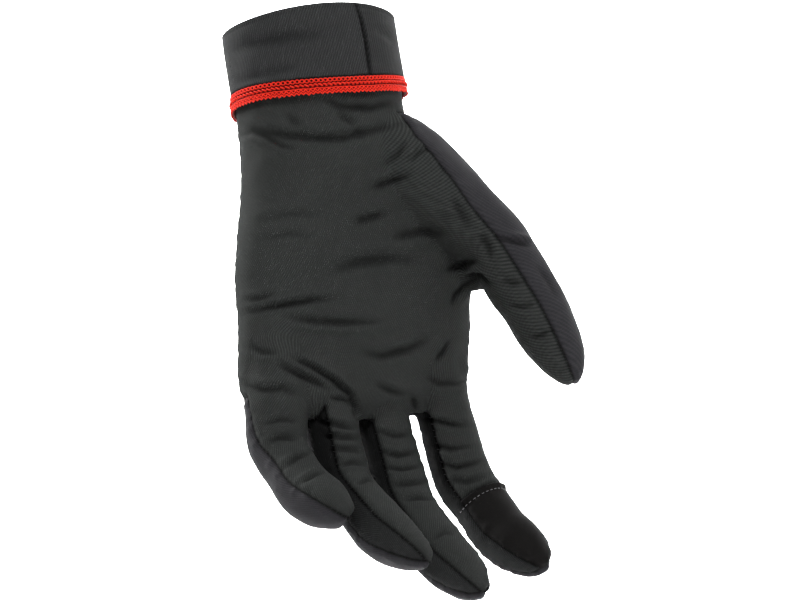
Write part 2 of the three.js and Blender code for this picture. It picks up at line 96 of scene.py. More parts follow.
fingerRows = {
    "index": {"length": 97.7, "width": 21.6, "knuckle": (0.283, 0.829, 0.082), "spread": 8.3, "turn": 6.6,
              "bends": (-2.5, 32.1, 21.4), "bones": (0.468, 0.277), "tip": 0.20, "seamTurn": -9},
    "middle": {"length": 108.1, "width": 20.6, "knuckle": (0.039, 0.853, -0.085), "spread": -2.3, "turn": 5.8,
               "bends": (12.4, 29.4, 13.1), "bones": (0.471, 0.288), "tip": 0.24, "seamTurn": 4},
    "ring": {"length": 102.9, "width": 20.2, "knuckle": (-0.192, 0.813, -0.024), "spread": -6.7, "turn": 12.6,
             "bends": (11.2, 33.7, 14.6), "bones": (0.454, 0.293), "tip": 0.30, "seamTurn": 15},
    "little": {"length": 83.1, "width": 20.4, "knuckle": (-0.396, 0.746, 0.097), "spread": -11.8, "turn": 26.5,
               "bends": (-0.7, 33, 21.8), "bones": (0.450, 0.263), "tip": 0.22, "seamTurn": 7,
               "outerSeams": [(0.00, 208), (0.24, 203), (0.43, 186), (0.60, 174), (1.00, 173)],
               "girths": [(0.00, 1.20), (0.15, 1.16), (0.30, 1.135), (0.45, 1.06), (0.58, 0.98), (0.70, 1.00),
                          (1.00, 0.94)]},
}
thumbRow = {"length": 110.1, "width": 25, "knuckle": (0.260, 0.230, 0.282), "away": 35.9, "forward": 15.5,
            "roll": 5.8, "bends": (0, 19.8, 6), "bones": (0.433, 0.302), "tip": 0.32,
            "backSeam": 176}
# Where the seam on the thumb's outer side lies round it, in degrees, at shares of the length
thumbSeams = [(-0.17, -60), (-0.06, -20), (0.00, -4), (0.10, 2), (0.20, 8), (0.30, 18), (0.40, 23), (1.00, 23)]
fingerGirths = [(0.00, 1.00), (0.30, 0.98), (0.45, 1.02), (0.58, 0.97), (0.70, 1.00), (1.00, 0.94)]
thumbGirths = [(-0.17, 0.94), (0.00, 1.36), (0.20, 1.28), (0.34, 1.13), (0.47, 1.04), (0.62, 1.01), (1.00, 0.96)]


def smoothRows(rows, column, at):
    keys = np.array([row[0] for row in rows], float)
    values = np.array([row[column] for row in rows], float)
    slopes = np.gradient(values, keys)
    i = np.clip(np.searchsorted(keys, at) - 1, 0, len(keys) - 2)
    h = keys[i + 1] - keys[i]
    t = np.clip((at - keys[i]) / h, 0, 1)
    return ((2 * t**3 - 3 * t**2 + 1) * values[i] + (t**3 - 2 * t**2 + t) * h * slopes[i]
            + (3 * t**2 - 2 * t**3) * values[i + 1] + (t**3 - t**2) * h * slopes[i + 1])


def smoothStep(x):
    t = np.clip(x, 0, 1)
    return t * t * (3 - 2 * t)


def lean(points, share=1.0):
    angle = -math.radians(hand["wristLean"]) * share
    x, y, z = points[..., 0], points[..., 1], points[..., 2]
    return np.stack([x * np.cos(angle) + z * np.sin(angle), y, -x * np.sin(angle) + z * np.cos(angle)], -1)


def handPoint(x, y, down, rise=0.0):
    x, y, down, rise = np.broadcast_arrays(x, y, down, rise)
    below = down - hand["wristDrop"]
    share = smoothStep((below + hand["wristDrop"]) / (2 * hand["wristDrop"]))
    along = lean(np.stack([0 * below, 0 * below, -np.abs(below)], -1), np.where(below > 0, 1.0, 0.0))
    along = np.where((below < 0)[..., None], -along, along)
    wrist = np.array([0, 0, -hand["cuffHeight"] - hand["wristDrop"]])
    return wrist + along + lean(np.stack([x, y, rise], -1), share)


def makeLimb(name, row):
    length = row["length"]
    across, down, lift = row["knuckle"]
    root = handPoint(across * hand["palmWidth"], -lift * hand["palmDepth"], down * hand["palmLength"])
    if name == "thumb":
        away, forward, roll = (math.radians(row[key]) for key in ("away", "forward", "roll"))
        heading = lean(np.array([math.sin(away) * math.cos(forward), -math.sin(forward),
                                 -math.cos(away) * math.cos(forward)]))
        inward = np.cross(heading, (0, -1, 0))
        inward /= np.linalg.norm(inward)
        inward = -inward if inward[0] > 0 else inward
        toPalm = np.cross(heading, inward)
        toPalm = -toPalm if toPalm[1] > 0 else toPalm
        flex = inward * math.cos(roll) + toPalm * math.sin(roll)
        side = np.cross(heading, flex)
        side = -side if side[1] > 0 else side
        limb = {"frontSeams": thumbSeams, "outerSeams": [(0, row["backSeam"]), (1, row["backSeam"])], "girths": thumbGirths,
                "reach": 18, "depth": 1.0, "seamTurn": 0}
    else:
        turn, spread = math.radians(row["turn"]), math.radians(row["spread"])
        flex = lean(np.array([math.sin(turn), -math.cos(turn), 0]))
        sideways = lean(np.array([math.cos(turn), math.sin(turn), 0]))
        downward = lean(np.array([0, 0, -1.0]))
        heading = downward * math.cos(spread) + sideways * math.sin(spread)
        side = sideways * math.cos(spread) - downward * math.sin(spread)
        outer = 180 - row["seamTurn"]
        limb = {"frontSeams": [(0, -row["seamTurn"]), (1, -row["seamTurn"])], "girths": row.get("girths", fingerGirths),
                "outerSeams": row.get("outerSeams", [(0, outer), (1, outer)]), "reach": 6, "depth": 0.98,
                "seamTurn": row["seamTurn"]}
    joints = [0, row["bones"][0] * length, sum(row["bones"]) * length]

    def bend(s):
        total = 0 * s
        for joint, angle in zip(joints, row["bends"]):
            total = total + math.radians(angle) * smoothStep((s - joint) / (0.14 * length) + 0.5)
        return total

    steps = np.linspace(0, length, 97)
    middles = (steps[:-1] + steps[1:]) / 2
    tangents = heading * np.cos(bend(middles))[:, None] + flex * np.sin(bend(middles))[:, None]
    path = root + np.vstack([np.zeros(3), np.cumsum(tangents * (length / 96), 0)])

    def at(s):
        s = np.asarray(s, float)
        angle = bend(s)[..., None]
        tangent = heading * np.cos(angle) + flex * np.sin(angle)
        centre = np.stack([np.interp(s, steps, path[:, k]) for k in range(3)], -1)
        centre = centre + tangent * (s - np.clip(s, 0, length))[..., None]
        palm = flex * np.cos(angle) - heading * np.sin(angle)
        return centre, tangent, palm

    limb.update(name=name, length=length, width=row["width"], tip=row["tip"], side=side, at=at)
    return limb


limbs = [makeLimb(name, row) for name, row in fingerRows.items()]
thumbLimb = makeLimb("thumb", thumbRow)
allLimbs = limbs + [thumbLimb]
indexLimb, middleLimb, ringLimb, littleLimb = limbs


def limbStations(limb, shaftCount=60, tipCount=24, reach=None):
    tipStart = limb["length"] * (1 - limb["tip"])
    shaft = np.linspace(-(limb["reach"] if reach is None else reach), tipStart, shaftCount, endpoint=False)
    turn = np.linspace(0, math.pi / 2, tipCount)
    s = np.concatenate([shaft, tipStart + np.sin(turn) * limb["length"] * limb["tip"]])
    half = smoothRows(limb["girths"], 1, s / limb["length"]) * limb["width"] / 2
    half[shaftCount:] *= np.cos(turn)
    return s, half


def limbPoints(limb, s, half, angles):
    centre, tangent, palm = limb["at"](s)
    return (centre[:, None] + limb["side"] * (half[:, None] * np.cos(angles))[..., None]
            + palm[:, None] * (half[:, None] * limb["depth"] * np.sin(angles))[..., None])


def edgeRise(angle, down=0.0):
    fade = np.maximum(0, 1 - down / (2 * hand["wristDrop"]))
    return fade * (hand["edgeCrown"] * np.cos(angle) ** 2 + hand["edgeSlant"] * np.cos(angle))


def palmPoints(share, angles, swell=0.0, extraDown=0.0):
    column = [None] + [smoothRows(palmRows, k, share)[:, None] for k in range(1, 10)]
    wide = (hand["cuffWidth"] + (hand["palmWidth"] - hand["cuffWidth"]) * column[1]) / 2
    deep = (hand["cuffDepth"] + (hand["palmDepth"] - hand["cuffDepth"]) * column[1]) / 2
    thumbSide, littleSide = wide * column[2], wide * column[3]
    power = 2 / column[6]
    across = np.sign(np.cos(angles)) * np.abs(np.cos(angles)) ** power
    forward = np.sign(np.sin(angles)) * np.abs(np.sin(angles)) ** power
    depth = np.where(forward > 0, deep * column[4], deep * column[5])
    down = (0.3 + share * (hand["palmLength"] - 0.3) + extraDown)[:, None]
    rise = column[8] * hand["palmLength"] * across**2 * np.where(across < 0, 1, 0.4)
    return handPoint((thumbSide - littleSide) / 2 + ((thumbSide + littleSide) / 2 + swell) * across,
                     -column[7] * hand["palmDepth"] - (depth + swell) * forward,
                     down - edgeRise(angles, down), rise)


# A grid whose rows are laid round as rings; its ends close on a middle point, doubled corners are merged
def tubeFromGrid(name, rings):
    rings = np.concatenate([rings, rings[:, :1]], 1)
    ends = [np.repeat(ring[:-1].mean(0, keepdims=True), ring.shape[0], 0) for ring in (rings[0], rings[-1])]
    rings = np.concatenate([ends[0][None], rings, ends[1][None]])
    bpy.ops.mesh.primitive_grid_add(x_subdivisions=rings.shape[1] - 1, y_subdivisions=rings.shape[0] - 1, size=1)
    tube = bpy.context.active_object
    tube.name = name
    tube.data.vertices.foreach_set("co", (rings * mm).astype(np.float32).ravel())
    bpy.ops.object.mode_set(mode="EDIT")
    bpy.ops.mesh.select_all(action="SELECT")
    bpy.ops.mesh.remove_doubles(threshold=1e-6)
    bpy.ops.mesh.normals_make_consistent(inside=False)
    bpy.ops.object.mode_set(mode="OBJECT")
    return tube


def applyModifiers(piece):
    bpy.context.view_layer.objects.active = piece
    for modifier in list(piece.modifiers):
        bpy.ops.object.modifier_apply(modifier=modifier.name)


def joinPieces(pieces, name):
    bpy.ops.object.select_all(action="DESELECT")
    for piece in pieces:
        piece.select_set(True)
    bpy.context.view_layer.objects.active = pieces[0]
    bpy.ops.object.join()
    pieces[0].name = name
    bpy.ops.object.select_all(action="DESELECT")
    return pieces[0]


def copyPiece(piece, name):
    bpy.ops.object.select_all(action="DESELECT")
    piece.select_set(True)
    bpy.context.view_layer.objects.active = piece
    bpy.ops.object.duplicate()
    copy = bpy.context.active_object
    copy.name = name
    copy.select_set(False)
    return copy


def cut(piece, cutter, operation):
    modifier = piece.modifiers.new("cut", "BOOLEAN")
    modifier.operation = operation
    modifier.solver = "MANIFOLD"
    modifier.object = cutter
    applyModifiers(piece)


def coordinates(mesh, what="vertices", key="co"):
    items = getattr(mesh, what)
    values = np.empty(len(items) * 3, np.float32)
    items.foreach_get(key, values)
    return values.reshape(-1, 3)


# The hand: palm, fingers and thumb run into one skin
round64 = np.linspace(0, 2 * math.pi, 64, endpoint=False)
round96 = np.linspace(0, 2 * math.pi, 96, endpoint=False)
tubes = [tubeFromGrid("palmTube", palmPoints(np.linspace(0, 1, 90), round96[None, :]))]
for limb in allLimbs:
    s, half = limbStations(limb)
    tubes.append(tubeFromGrid(limb["name"] + "Tube", limbPoints(limb, s, half, round64[None, :])))
thumbWeb = {"at": (48.0, -13.8, -102.6), "halfWidth": 11, "halfHeight": 6.5, "halfDepth": 4.5, "cover": 5}


def ballOnWeb(at, sizes):
    bpy.ops.mesh.primitive_uv_sphere_add(segments=32, ring_count=16, radius=1)
    ball = bpy.context.active_object
    turn = Matrix((right, up, back)).transposed().to_4x4()
    ball.matrix_world = Matrix.Translation(Vector(at) * mm) @ turn @ Matrix.Diagonal((*(Vector(sizes) * mm), 1))
    bpy.ops.object.transform_apply(location=True, rotation=True, scale=True)
    return ball


tubes.append(ballOnWeb(thumbWeb["at"], (thumbWeb["halfWidth"], thumbWeb["halfHeight"], thumbWeb["halfDepth"])))
handSkin = joinPieces(tubes, "handSkin")
remesh = handSkin.modifiers.new("remesh", "REMESH")
remesh.mode = "VOXEL"
remesh.voxel_size = hand["voxel"] * mm
applyModifiers(handSkin)
smooth = handSkin.modifiers.new("smooth", "SMOOTH")
smooth.iterations = hand["softenWebs"]
smooth.factor = 0.5
applyModifiers(handSkin)
points = coordinates(handSkin.data) / mm
knuckles = handSkin.vertex_groups.new(name="knuckles")
onKnuckles = (points[:, 1] > 2) & (points[:, 2] > -160) & (points[:, 2] < -112)
knuckles.add(np.nonzero(onKnuckles)[0].tolist(), 1, "REPLACE")
soften = handSkin.modifiers.new("soften", "SMOOTH")
soften.iterations = hand["softenKnuckles"]
soften.factor = 0.5
soften.vertex_group = "knuckles"
applyModifiers(handSkin)
print("hand skin:", len(handSkin.data.polygons), "faces")
skinPoints = coordinates(handSkin.data) / mm
skinNormals = coordinates(handSkin.data, "vertices", "normal")
skinTree = kdtree.KDTree(len(skinPoints))
for i, point in enumerate(skinPoints):
    skinTree.insert(point, i)
skinTree.balance()

# Cutters along the seams
palmShares = np.linspace(0, 1, 60)
seams = np.radians(smoothRows(palmRows, 9, palmShares))[:, None]
sweep = np.linspace(0, 1, 40)[None, :]
frontAngles = seams + (math.radians(littleSideSeam) - seams) * sweep
frontRings = palmPoints(palmShares, frontAngles, swell=0.8)
frontRings[0, :, 2] += 3
frontRings[-1, :, 2] -= 1.5
centres = palmPoints(palmShares, round96[None, :]).mean(1)[:, None]
centres[0, :, 2] += 3
centres[-1, :, 2] -= 1.5
palmCutter = tubeFromGrid("palmCutter", np.concatenate([frontRings, centres], 1))
for limb in allLimbs:
    s, half = limbStations(limb)
    s = np.append(s, limb["length"] + 1)
    half = np.append(half, 0.0) + 0.7
    front = np.radians(np.interp(s / limb["length"], *zip(*limb["frontSeams"])))[:, None]
    outer = np.radians(np.interp(s / limb["length"], *zip(*limb["outerSeams"])))[:, None]
    angles = front + (outer - front) * np.linspace(0, 1, 24)[None, :]
    rings = np.concatenate([limbPoints(limb, s, half, angles), limb["at"](s)[0][:, None]], 1)
    limbCutter = tubeFromGrid(limb["name"] + "Cutter", rings)
    cut(palmCutter, limbCutter, "UNION")
    bpy.data.objects.remove(limbCutter)
for across, rise, out in ((-13, 9, 12), (-9, 6, 11), (-5, 3, 10), (-1, -1, 9), (4, -3, 10), (0, -6, 7.5), (5, -7, 7.5),
                          (9, -8, 11), (7, -4, 11)):
    at = Vector(thumbWeb["at"]) + right * across + up * rise + back * (out - 6)
    cover = ballOnWeb(at, [thumbWeb["cover"]] * 3)
    cut(palmCutter, cover, "UNION")
    bpy.data.objects.remove(cover)


def stripCutter(name, outer, inner, width=10.5, meet=0.7):
    shares = np.linspace(0.15, 1.04, 40)
    corners = []
    for limb, sign in ((outer, 1), (inner, -1)):
        centre, tangent, palm = limb["at"](shares * limb["length"])
        turn = math.radians(limb["seamTurn"])
        towards = sign * (limb["side"] * math.cos(turn) - palm * math.sin(turn))
        up = palm * math.cos(turn) + limb["side"] * math.sin(turn)
        shoulder = width / 2 / math.tan(math.radians(30))
        corners.append([centre + towards * shoulder + up * width / 2, centre + towards * meet,
                        centre + towards * shoulder - up * width / 2])
    a, b = corners
    return tubeFromGrid(name, np.stack([a[1], a[0], b[0], b[1], b[2], a[2]], 1))


def padCutter(limb, start=0.585):
    s = np.array([start * limb["length"], limb["length"] * 0.72, limb["length"] * 0.88, limb["length"] + 4])
    centre, tangent, palm = limb["at"](s)
    reach = limb["width"]
    rings = [centre + limb["side"] * reach * x + palm * reach * y for x, y in ((-1, -1), (1, -1), (1, 1), (-1, 1))]
    return tubeFromGrid("padCutter", np.stack(rings, 1))


stripCutters = {
    "index_middle_strip": stripCutter("stripCutter1", middleLimb, indexLimb),
    "middle_ring_strip": stripCutter("stripCutter2", ringLimb, middleLimb),
    "ring_little_strip": stripCutter("stripCutter3", littleLimb, ringLimb),
}
touchCutter = padCutter(indexLimb)
for cutter in [palmCutter, touchCutter, *stripCutters.values()]:
    cutter.data.materials.clear()
    cutter.data.materials.append(None)
    cutter.data.materials.append(None)
    cutter.data.polygons.foreach_set("material_index", [1] * len(cutter.data.polygons))
handSkin.data.materials.clear()
handSkin.data.materials.append(None)
handSkin.data.materials.append(None)

strips = {}
for node, cutter in stripCutters.items():
    strips[node] = copyPiece(handSkin, node.replace("_", " ").title().replace(" ", ""))
    cut(strips[node], cutter, "INTERSECT")
for cutter in stripCutters.values():
    cut(handSkin, cutter, "DIFFERENCE")
palmCloth = copyPiece(handSkin, "PalmCloth")
backCloth = handSkin
backCloth.name = "BackCloth"
cut(palmCloth, palmCutter, "INTERSECT")
cut(backCloth, palmCutter, "DIFFERENCE")
touchPad = copyPiece(palmCloth, "TouchPad")
cut(touchPad, touchCutter, "INTERSECT")
cut(palmCloth, touchCutter, "DIFFERENCE")
for cutter in [palmCutter, touchCutter, *stripCutters.values()]:
    bpy.data.objects.remove(cutter)
print("cut into panels:", [(piece.name, len(piece.data.polygons)) for piece in
                           [palmCloth, backCloth, touchPad, *strips.values()]])


# Only the outside stays: the faces that a cutter left are taken away, and the top where the wrist goes in
def openPanel(piece):
    mesh = piece.data
    inside = np.empty(len(mesh.polygons), np.int32)
    mesh.polygons.foreach_get("material_index", inside)
    middles = coordinates(mesh, "polygons", "center") / mm
    normals = coordinates(mesh, "polygons", "normal")
    angle = np.arctan2(middles[:, 1] / 25.5, middles[:, 0] / 34.5)
    top = (normals[:, 2] > 0.75) & (middles[:, 2] > -31)
    above = middles[:, 2] > -31 + edgeRise(angle)
    drop = (inside == 1) | top | above
    bpy.ops.object.select_all(action="DESELECT")
    bpy.context.view_layer.objects.active = piece
    mesh.vertices.foreach_set("select", [False] * len(mesh.vertices))
    mesh.edges.foreach_set("select", [False] * len(mesh.edges))
    mesh.polygons.foreach_set("select", drop)
    bpy.ops.object.mode_set(mode="EDIT")
    bpy.ops.mesh.select_mode(type="FACE")
    bpy.ops.object.mode_set(mode="OBJECT")
    mesh.polygons.foreach_set("select", drop)
    bpy.ops.object.mode_set(mode="EDIT")
    bpy.ops.mesh.delete(type="FACE")
    bpy.ops.mesh.select_all(action="SELECT")
    bpy.ops.mesh.remove_doubles(threshold=0.02 * mm)
    bpy.ops.object.mode_set(mode="OBJECT")
    mesh.polygons.foreach_set("material_index", [0] * len(mesh.polygons))
    mesh.update()


panels = {"palm_panel": palmCloth, "back_panel": backCloth, "index_touch_pad": touchPad, **strips}
for piece in panels.values():
    openPanel(piece)
print("opened:", {name: len(piece.data.polygons) for name, piece in panels.items()})


# The open edge of a panel as chains of points, in millimetres
def edgeChains(mesh, points):
    loopEdges = np.empty(len(mesh.loops), np.int32)
    mesh.loops.foreach_get("edge_index", loopEdges)
    ends = np.empty(len(mesh.edges) * 2, np.int32)
    mesh.edges.foreach_get("vertices", ends)
    openEnds = ends.reshape(-1, 2)[np.bincount(loopEdges, minlength=len(mesh.edges)) == 1]
    near = {}
    for a, b in openEnds.tolist():
        near.setdefault(a, []).append(b)
        near.setdefault(b, []).append(a)
    chains = []
    while near:
        start = next(iter(near))
        chain = [start]
        while near.get(chain[-1]):
            following = near[chain[-1]].pop()
            near[following].remove(chain[-1])
            chain.append(following)
        near = {key: value for key, value in near.items() if value}
        if len(chain) > 6:
            chains.append(points[chain])
    return chains


def evenly(chain, spacing):
    lengths = np.concatenate([[0], np.cumsum(np.linalg.norm(np.diff(chain, axis=0), axis=1))])
    marks = np.arange(spacing / 2, lengths[-1], spacing)
    return np.stack([np.interp(marks, lengths, chain[:, k]) for k in range(3)], -1), marks


def skinNormalAt(points):
    return np.array([skinNormals[skinTree.find(point)[1]] for point in points])


# Folds of the cloth, by where they lie in the picture: points, width and depth in millimetres, and
# how high the cloth stands up on the side the fold leans to
folds = [
    # under the cuff
    ([(241, 125), (262, 131), (284, 135), (315, 138), (343, 138), (384, 128), (406, 122)], 2.2, 0.7, 0.5),
    ([(239, 136), (252, 132), (266, 137), (282, 146), (298, 150)], 1.6, 0.5, -0.5),
    ([(286, 112), (300, 128), (306, 136)], 2.4, 0.45, 0.4),
    ([(336, 112), (352, 124), (362, 136)], 2.2, 0.5, -0.4),
    ([(258, 222), (290, 214), (322, 216)], 2.2, 0.3, 0.5),
    ([(262, 240), (288, 234), (316, 238)], 1.8, 0.3, 0.5),
    ([(322, 99), (343, 107), (373, 108), (394, 102)], 2.4, 0.7, 0.5),
    ([(370, 189), (389, 182), (412, 176)], 2.2, 0.6, 0.6),
    ([(353, 224), (366, 219), (389, 213)], 2.4, 0.6, 0.5),
    ([(409, 163), (419, 153), (430, 148)], 1.6, 0.5, 0.5),
    ([(408, 140), (398, 155), (384, 166)], 2.0, 0.5, 0.5),
    # palm
    ([(245, 313), (262, 309), (286, 304.5), (314, 300), (335, 299)], 1.8, 0.75, 0.6),
    ([(246, 300), (259, 299), (275, 295)], 1.6, 0.5, 0.5),
    ([(286, 317), (314, 321), (340, 323), (359, 323), (384, 322)], 2.2, 0.65, -0.6),
    ([(330, 272), (360, 262), (395, 258), (420, 262)], 3.4, 0.6, 0.5),
    ([(390, 240), (420, 232), (446, 236)], 3.0, 0.6, -0.5),
    ([(275, 361), (287, 368), (298, 374), (314, 382), (331, 390)], 1.7, 0.7, 0.6),
    ([(294, 359), (314, 368), (335, 382), (349, 394), (354, 404), (357, 419)], 1.6, 0.95, 0.6),
    ([(328, 398), (343, 400), (351, 404)], 1.3, 0.5, 0.5),
    ([(248, 345), (262, 352), (280, 354)], 1.8, 0.5, -0.5),
    ([(244, 385), (262, 390), (283, 388), (300, 396)], 2.0, 0.6, 0.5),
    ([(360, 352), (382, 356), (408, 350), (432, 338)], 2.6, 0.6, 0.5),
    ([(375, 384), (392, 392), (407, 396)], 1.8, 0.5, 0.5),
    ([(435, 362), (444, 352), (450, 340)], 1.8, 0.6, 0.6),
    ([(412, 397), (415, 404), (417, 411)], 1.4, 0.7, 0.4),
    ([(425, 376), (440, 384), (458, 384), (470, 378)], 2.0, 0.55, -0.5),
    # round the thumb
    ([(464, 277), (472, 274), (481, 276), (489, 284)], 1.3, 0.8, 0.4),
    ([(478, 276), (468, 284), (458, 294), (452, 306)], 2.0, 0.7, 0.5),
    ([(478, 262), (462, 264), (446, 272)], 2.0, 0.7, 0.5),
    ([(492, 262), (488, 246), (478, 232)], 2.0, 0.6, -0.5),
    ([(496, 237), (508, 240), (520, 243), (532, 246)], 1.6, 0.8, 0.6),
    ([(500, 280), (512, 284), (524, 282)], 1.8, 0.5, 0.5),
    ([(508, 306), (522, 308), (536, 304)], 1.6, 0.5, -0.5),
    ([(528, 338), (541, 336), (552, 330)], 1.5, 0.45, 0.5),
    ([(452, 196), (462, 214), (470, 230)], 2.4, 0.5, 0.5),
    ([(535, 262), (548, 280), (558, 300)], 2.2, 0.4, 0.4),
    # little finger
    ([(267, 443), (277, 438), (286, 437), (300, 438)], 1.5, 0.6, 0.6),
    ([(263, 425), (280, 420), (298, 422)], 1.5, 0.5, -0.5),
    ([(285, 466), (298, 456), (312, 452)], 1.5, 0.55, 0.5),
    ([(300, 484), (314, 474), (326, 470)], 1.4, 0.5, 0.5),
    # ring finger
    ([(314, 419), (328, 423), (343, 426), (357, 430)], 1.5, 0.65, 0.6),
    ([(322, 435), (340, 437), (361, 439)], 1.4, 0.6, 0.6),
    ([(328, 449), (346, 449), (364, 452)], 1.4, 0.55, 0.5),
    ([(338, 466), (352, 462), (368, 464)], 1.4, 0.5, -0.5),
    ([(356, 484), (368, 478), (378, 480)], 1.4, 0.5, 0.5),
    # middle finger
    ([(378, 432), (394, 436), (412, 434)], 1.5, 0.55, 0.6),
    ([(380, 452), (398, 456), (418, 452)], 1.4, 0.6, 0.6),
    ([(384, 468), (402, 470), (422, 466)], 1.4, 0.6, -0.5),
    ([(392, 486), (410, 484), (428, 482)], 1.4, 0.55, 0.5),
    ([(402, 500), (418, 497), (436, 499)], 1.4, 0.5, 0.5),
    ([(430, 540), (444, 532), (456, 534)], 1.6, 0.4, 0.5),
    # index finger
    ([(422, 418), (438, 422), (454, 425), (470, 426)], 1.5, 0.6, 0.6),
    ([(432, 446), (450, 450), (474, 446)], 1.5, 0.55, -0.5),
    ([(438, 462), (456, 468), (482, 462)], 1.5, 0.6, 0.6),
    ([(448, 480), (466, 482), (488, 476)], 1.5, 0.5, 0.5),
    # cuff
    ([(355, 1), (358, 10), (361, 20), (366, 43), (370, 74)], 0.7, 0.55, 0.2),
    ([(226, 56), (250, 44), (290, 36), (330, 33)], 3.5, 0.35, 0.4),
    ([(232, 84), (262, 74), (300, 66)], 3.0, 0.35, -0.4),
    ([(374, 30), (386, 34), (396, 44)], 2.4, 0.3, 0.5),
]
picturePerMm = shot["lens"] / 36 * 0.8
foldStrength = 2.2


# Folds on the back of the hand, by x and z in millimetres
backFolds = [
    ([(-24, -46), (-6, -49), (14, -46)], 1.8, 0.4, 0.5),
    ([(-16, -55), (2, -58), (20, -54)], 1.6, 0.35, -0.5),
    ([(-12, -68), (4, -72), (18, -69)], 2.2, 0.3, -0.5),
    ([(20, -72), (28, -84), (33, -98)], 2.4, 0.35, 0.5),
    ([(-32, -100), (-27, -116), (-28, -130)], 2.2, 0.3, 0.5),
    ([(4, -130), (0, -119), (2, -106)], 2.0, 0.25, 0.4),
    ([(26, -120), (20, -128), (18, -137)], 1.8, 0.3, 0.5),
]


def foldsAlong(table, place, facing, perMm):
    height = np.zeros(len(place))
    for spots, width, depth, side in table:
        spots = np.array(spots, float)
        reach = width * 4 * perMm
        near = np.all((place > spots.min(0) - reach) & (place < spots.max(0) + reach), 1) & (facing > 0)
        if not near.any():
            continue
        p = place[near]
        best = np.full(len(p), 1e9)
        signed = np.zeros(len(p))
        along = np.zeros(len(p))
        lengths = np.linalg.norm(np.diff(spots, axis=0), axis=1)
        for i, (a, b) in enumerate(zip(spots[:-1], spots[1:])):
            step = (b - a) / lengths[i]
            t = np.clip((p - a) @ step, 0, lengths[i])
            offset = p - a - t[:, None] * step
            distance = np.linalg.norm(offset, axis=1)
            closer = distance < best
            best[closer] = distance[closer]
            signed[closer] = (offset[:, 0] * step[1] - offset[:, 1] * step[0])[closer]
            along[closer] = (t + lengths[:i].sum())[closer]
        d = best / perMm
        sided = np.sign(signed) * d * np.sign(side)
        ends = np.sin(np.clip(along / lengths.sum(), 0.02, 0.98) * math.pi) ** 0.6
        core = 0.72 * width
        shape = -np.exp(-(d / core) ** 2) + abs(side) * np.exp(-((sided - 1.9 * core) / core) ** 2)
        height[near] += foldStrength * depth * ends * shape * smoothStep(facing[near] / 0.35)
    return height


def foldHeight(points, normals):
    toEye = np.array(shot["target"]) + np.array(back) * 1000 * shot["away"] - points
    facing = (normals * toEye).sum(1) / np.linalg.norm(toEye, axis=1)
    return (foldsAlong(folds, inPicture(points), facing, picturePerMm)
            + foldsAlong(backFolds, points[:, [0, 2]], normals[:, 1], 1))


# Lengthwise and crosswise of the cloth on each panel, in millimetres, for the knit
def weaveCoordinates(points, facingPalm):
    middle = math.pi / 2 if facingPalm else -math.pi / 2
    sign = -1 if facingPalm else 1
    angles = np.linspace(-2 * math.pi, 2 * math.pi, 1441)
    arc = np.cumsum(np.hypot(44 * np.sin(angles), 17 * np.cos(angles))) * math.radians(0.5)
    around = np.arctan2(-(points[:, 1] + 2) / 17, (points[:, 0] - 1) / 44)
    turned = (around - middle + math.pi) % (2 * math.pi) - math.pi
    u = sign * (np.interp(middle + turned, angles, arc) - np.interp(middle, angles, arc))
    v = -points[:, 2]
    for limb in limbs:
        steps = np.linspace(-6, limb["length"], 90)
        centre, tangent, palm = limb["at"](steps)
        span = ((points[:, None] - centre[None]) ** 2).sum(-1)
        nearest = span.argmin(1)
        radial = points - centre[nearest]
        s = steps[nearest] + (radial * tangent[nearest]).sum(1)
        angle = np.arctan2((radial * palm[nearest]).sum(1), radial @ limb["side"])
        turned = (angle - middle + math.pi) % (2 * math.pi) - math.pi
        weight = smoothStep((s + 2) / 12) * (np.sqrt(span.min(1)) < limb["width"] * 0.62)
        u = u * (1 - weight) + (centre[6, 0] + sign * limb["width"] / 2 * turned) * weight
        v = v * (1 - weight) + (s - centre[6, 2]) * weight
    return u, v


def setAttribute(mesh, name, values):
    attribute = mesh.attributes.new(name, "FLOAT", "POINT")
    attribute.data.foreach_set("value", np.asarray(values, np.float32))


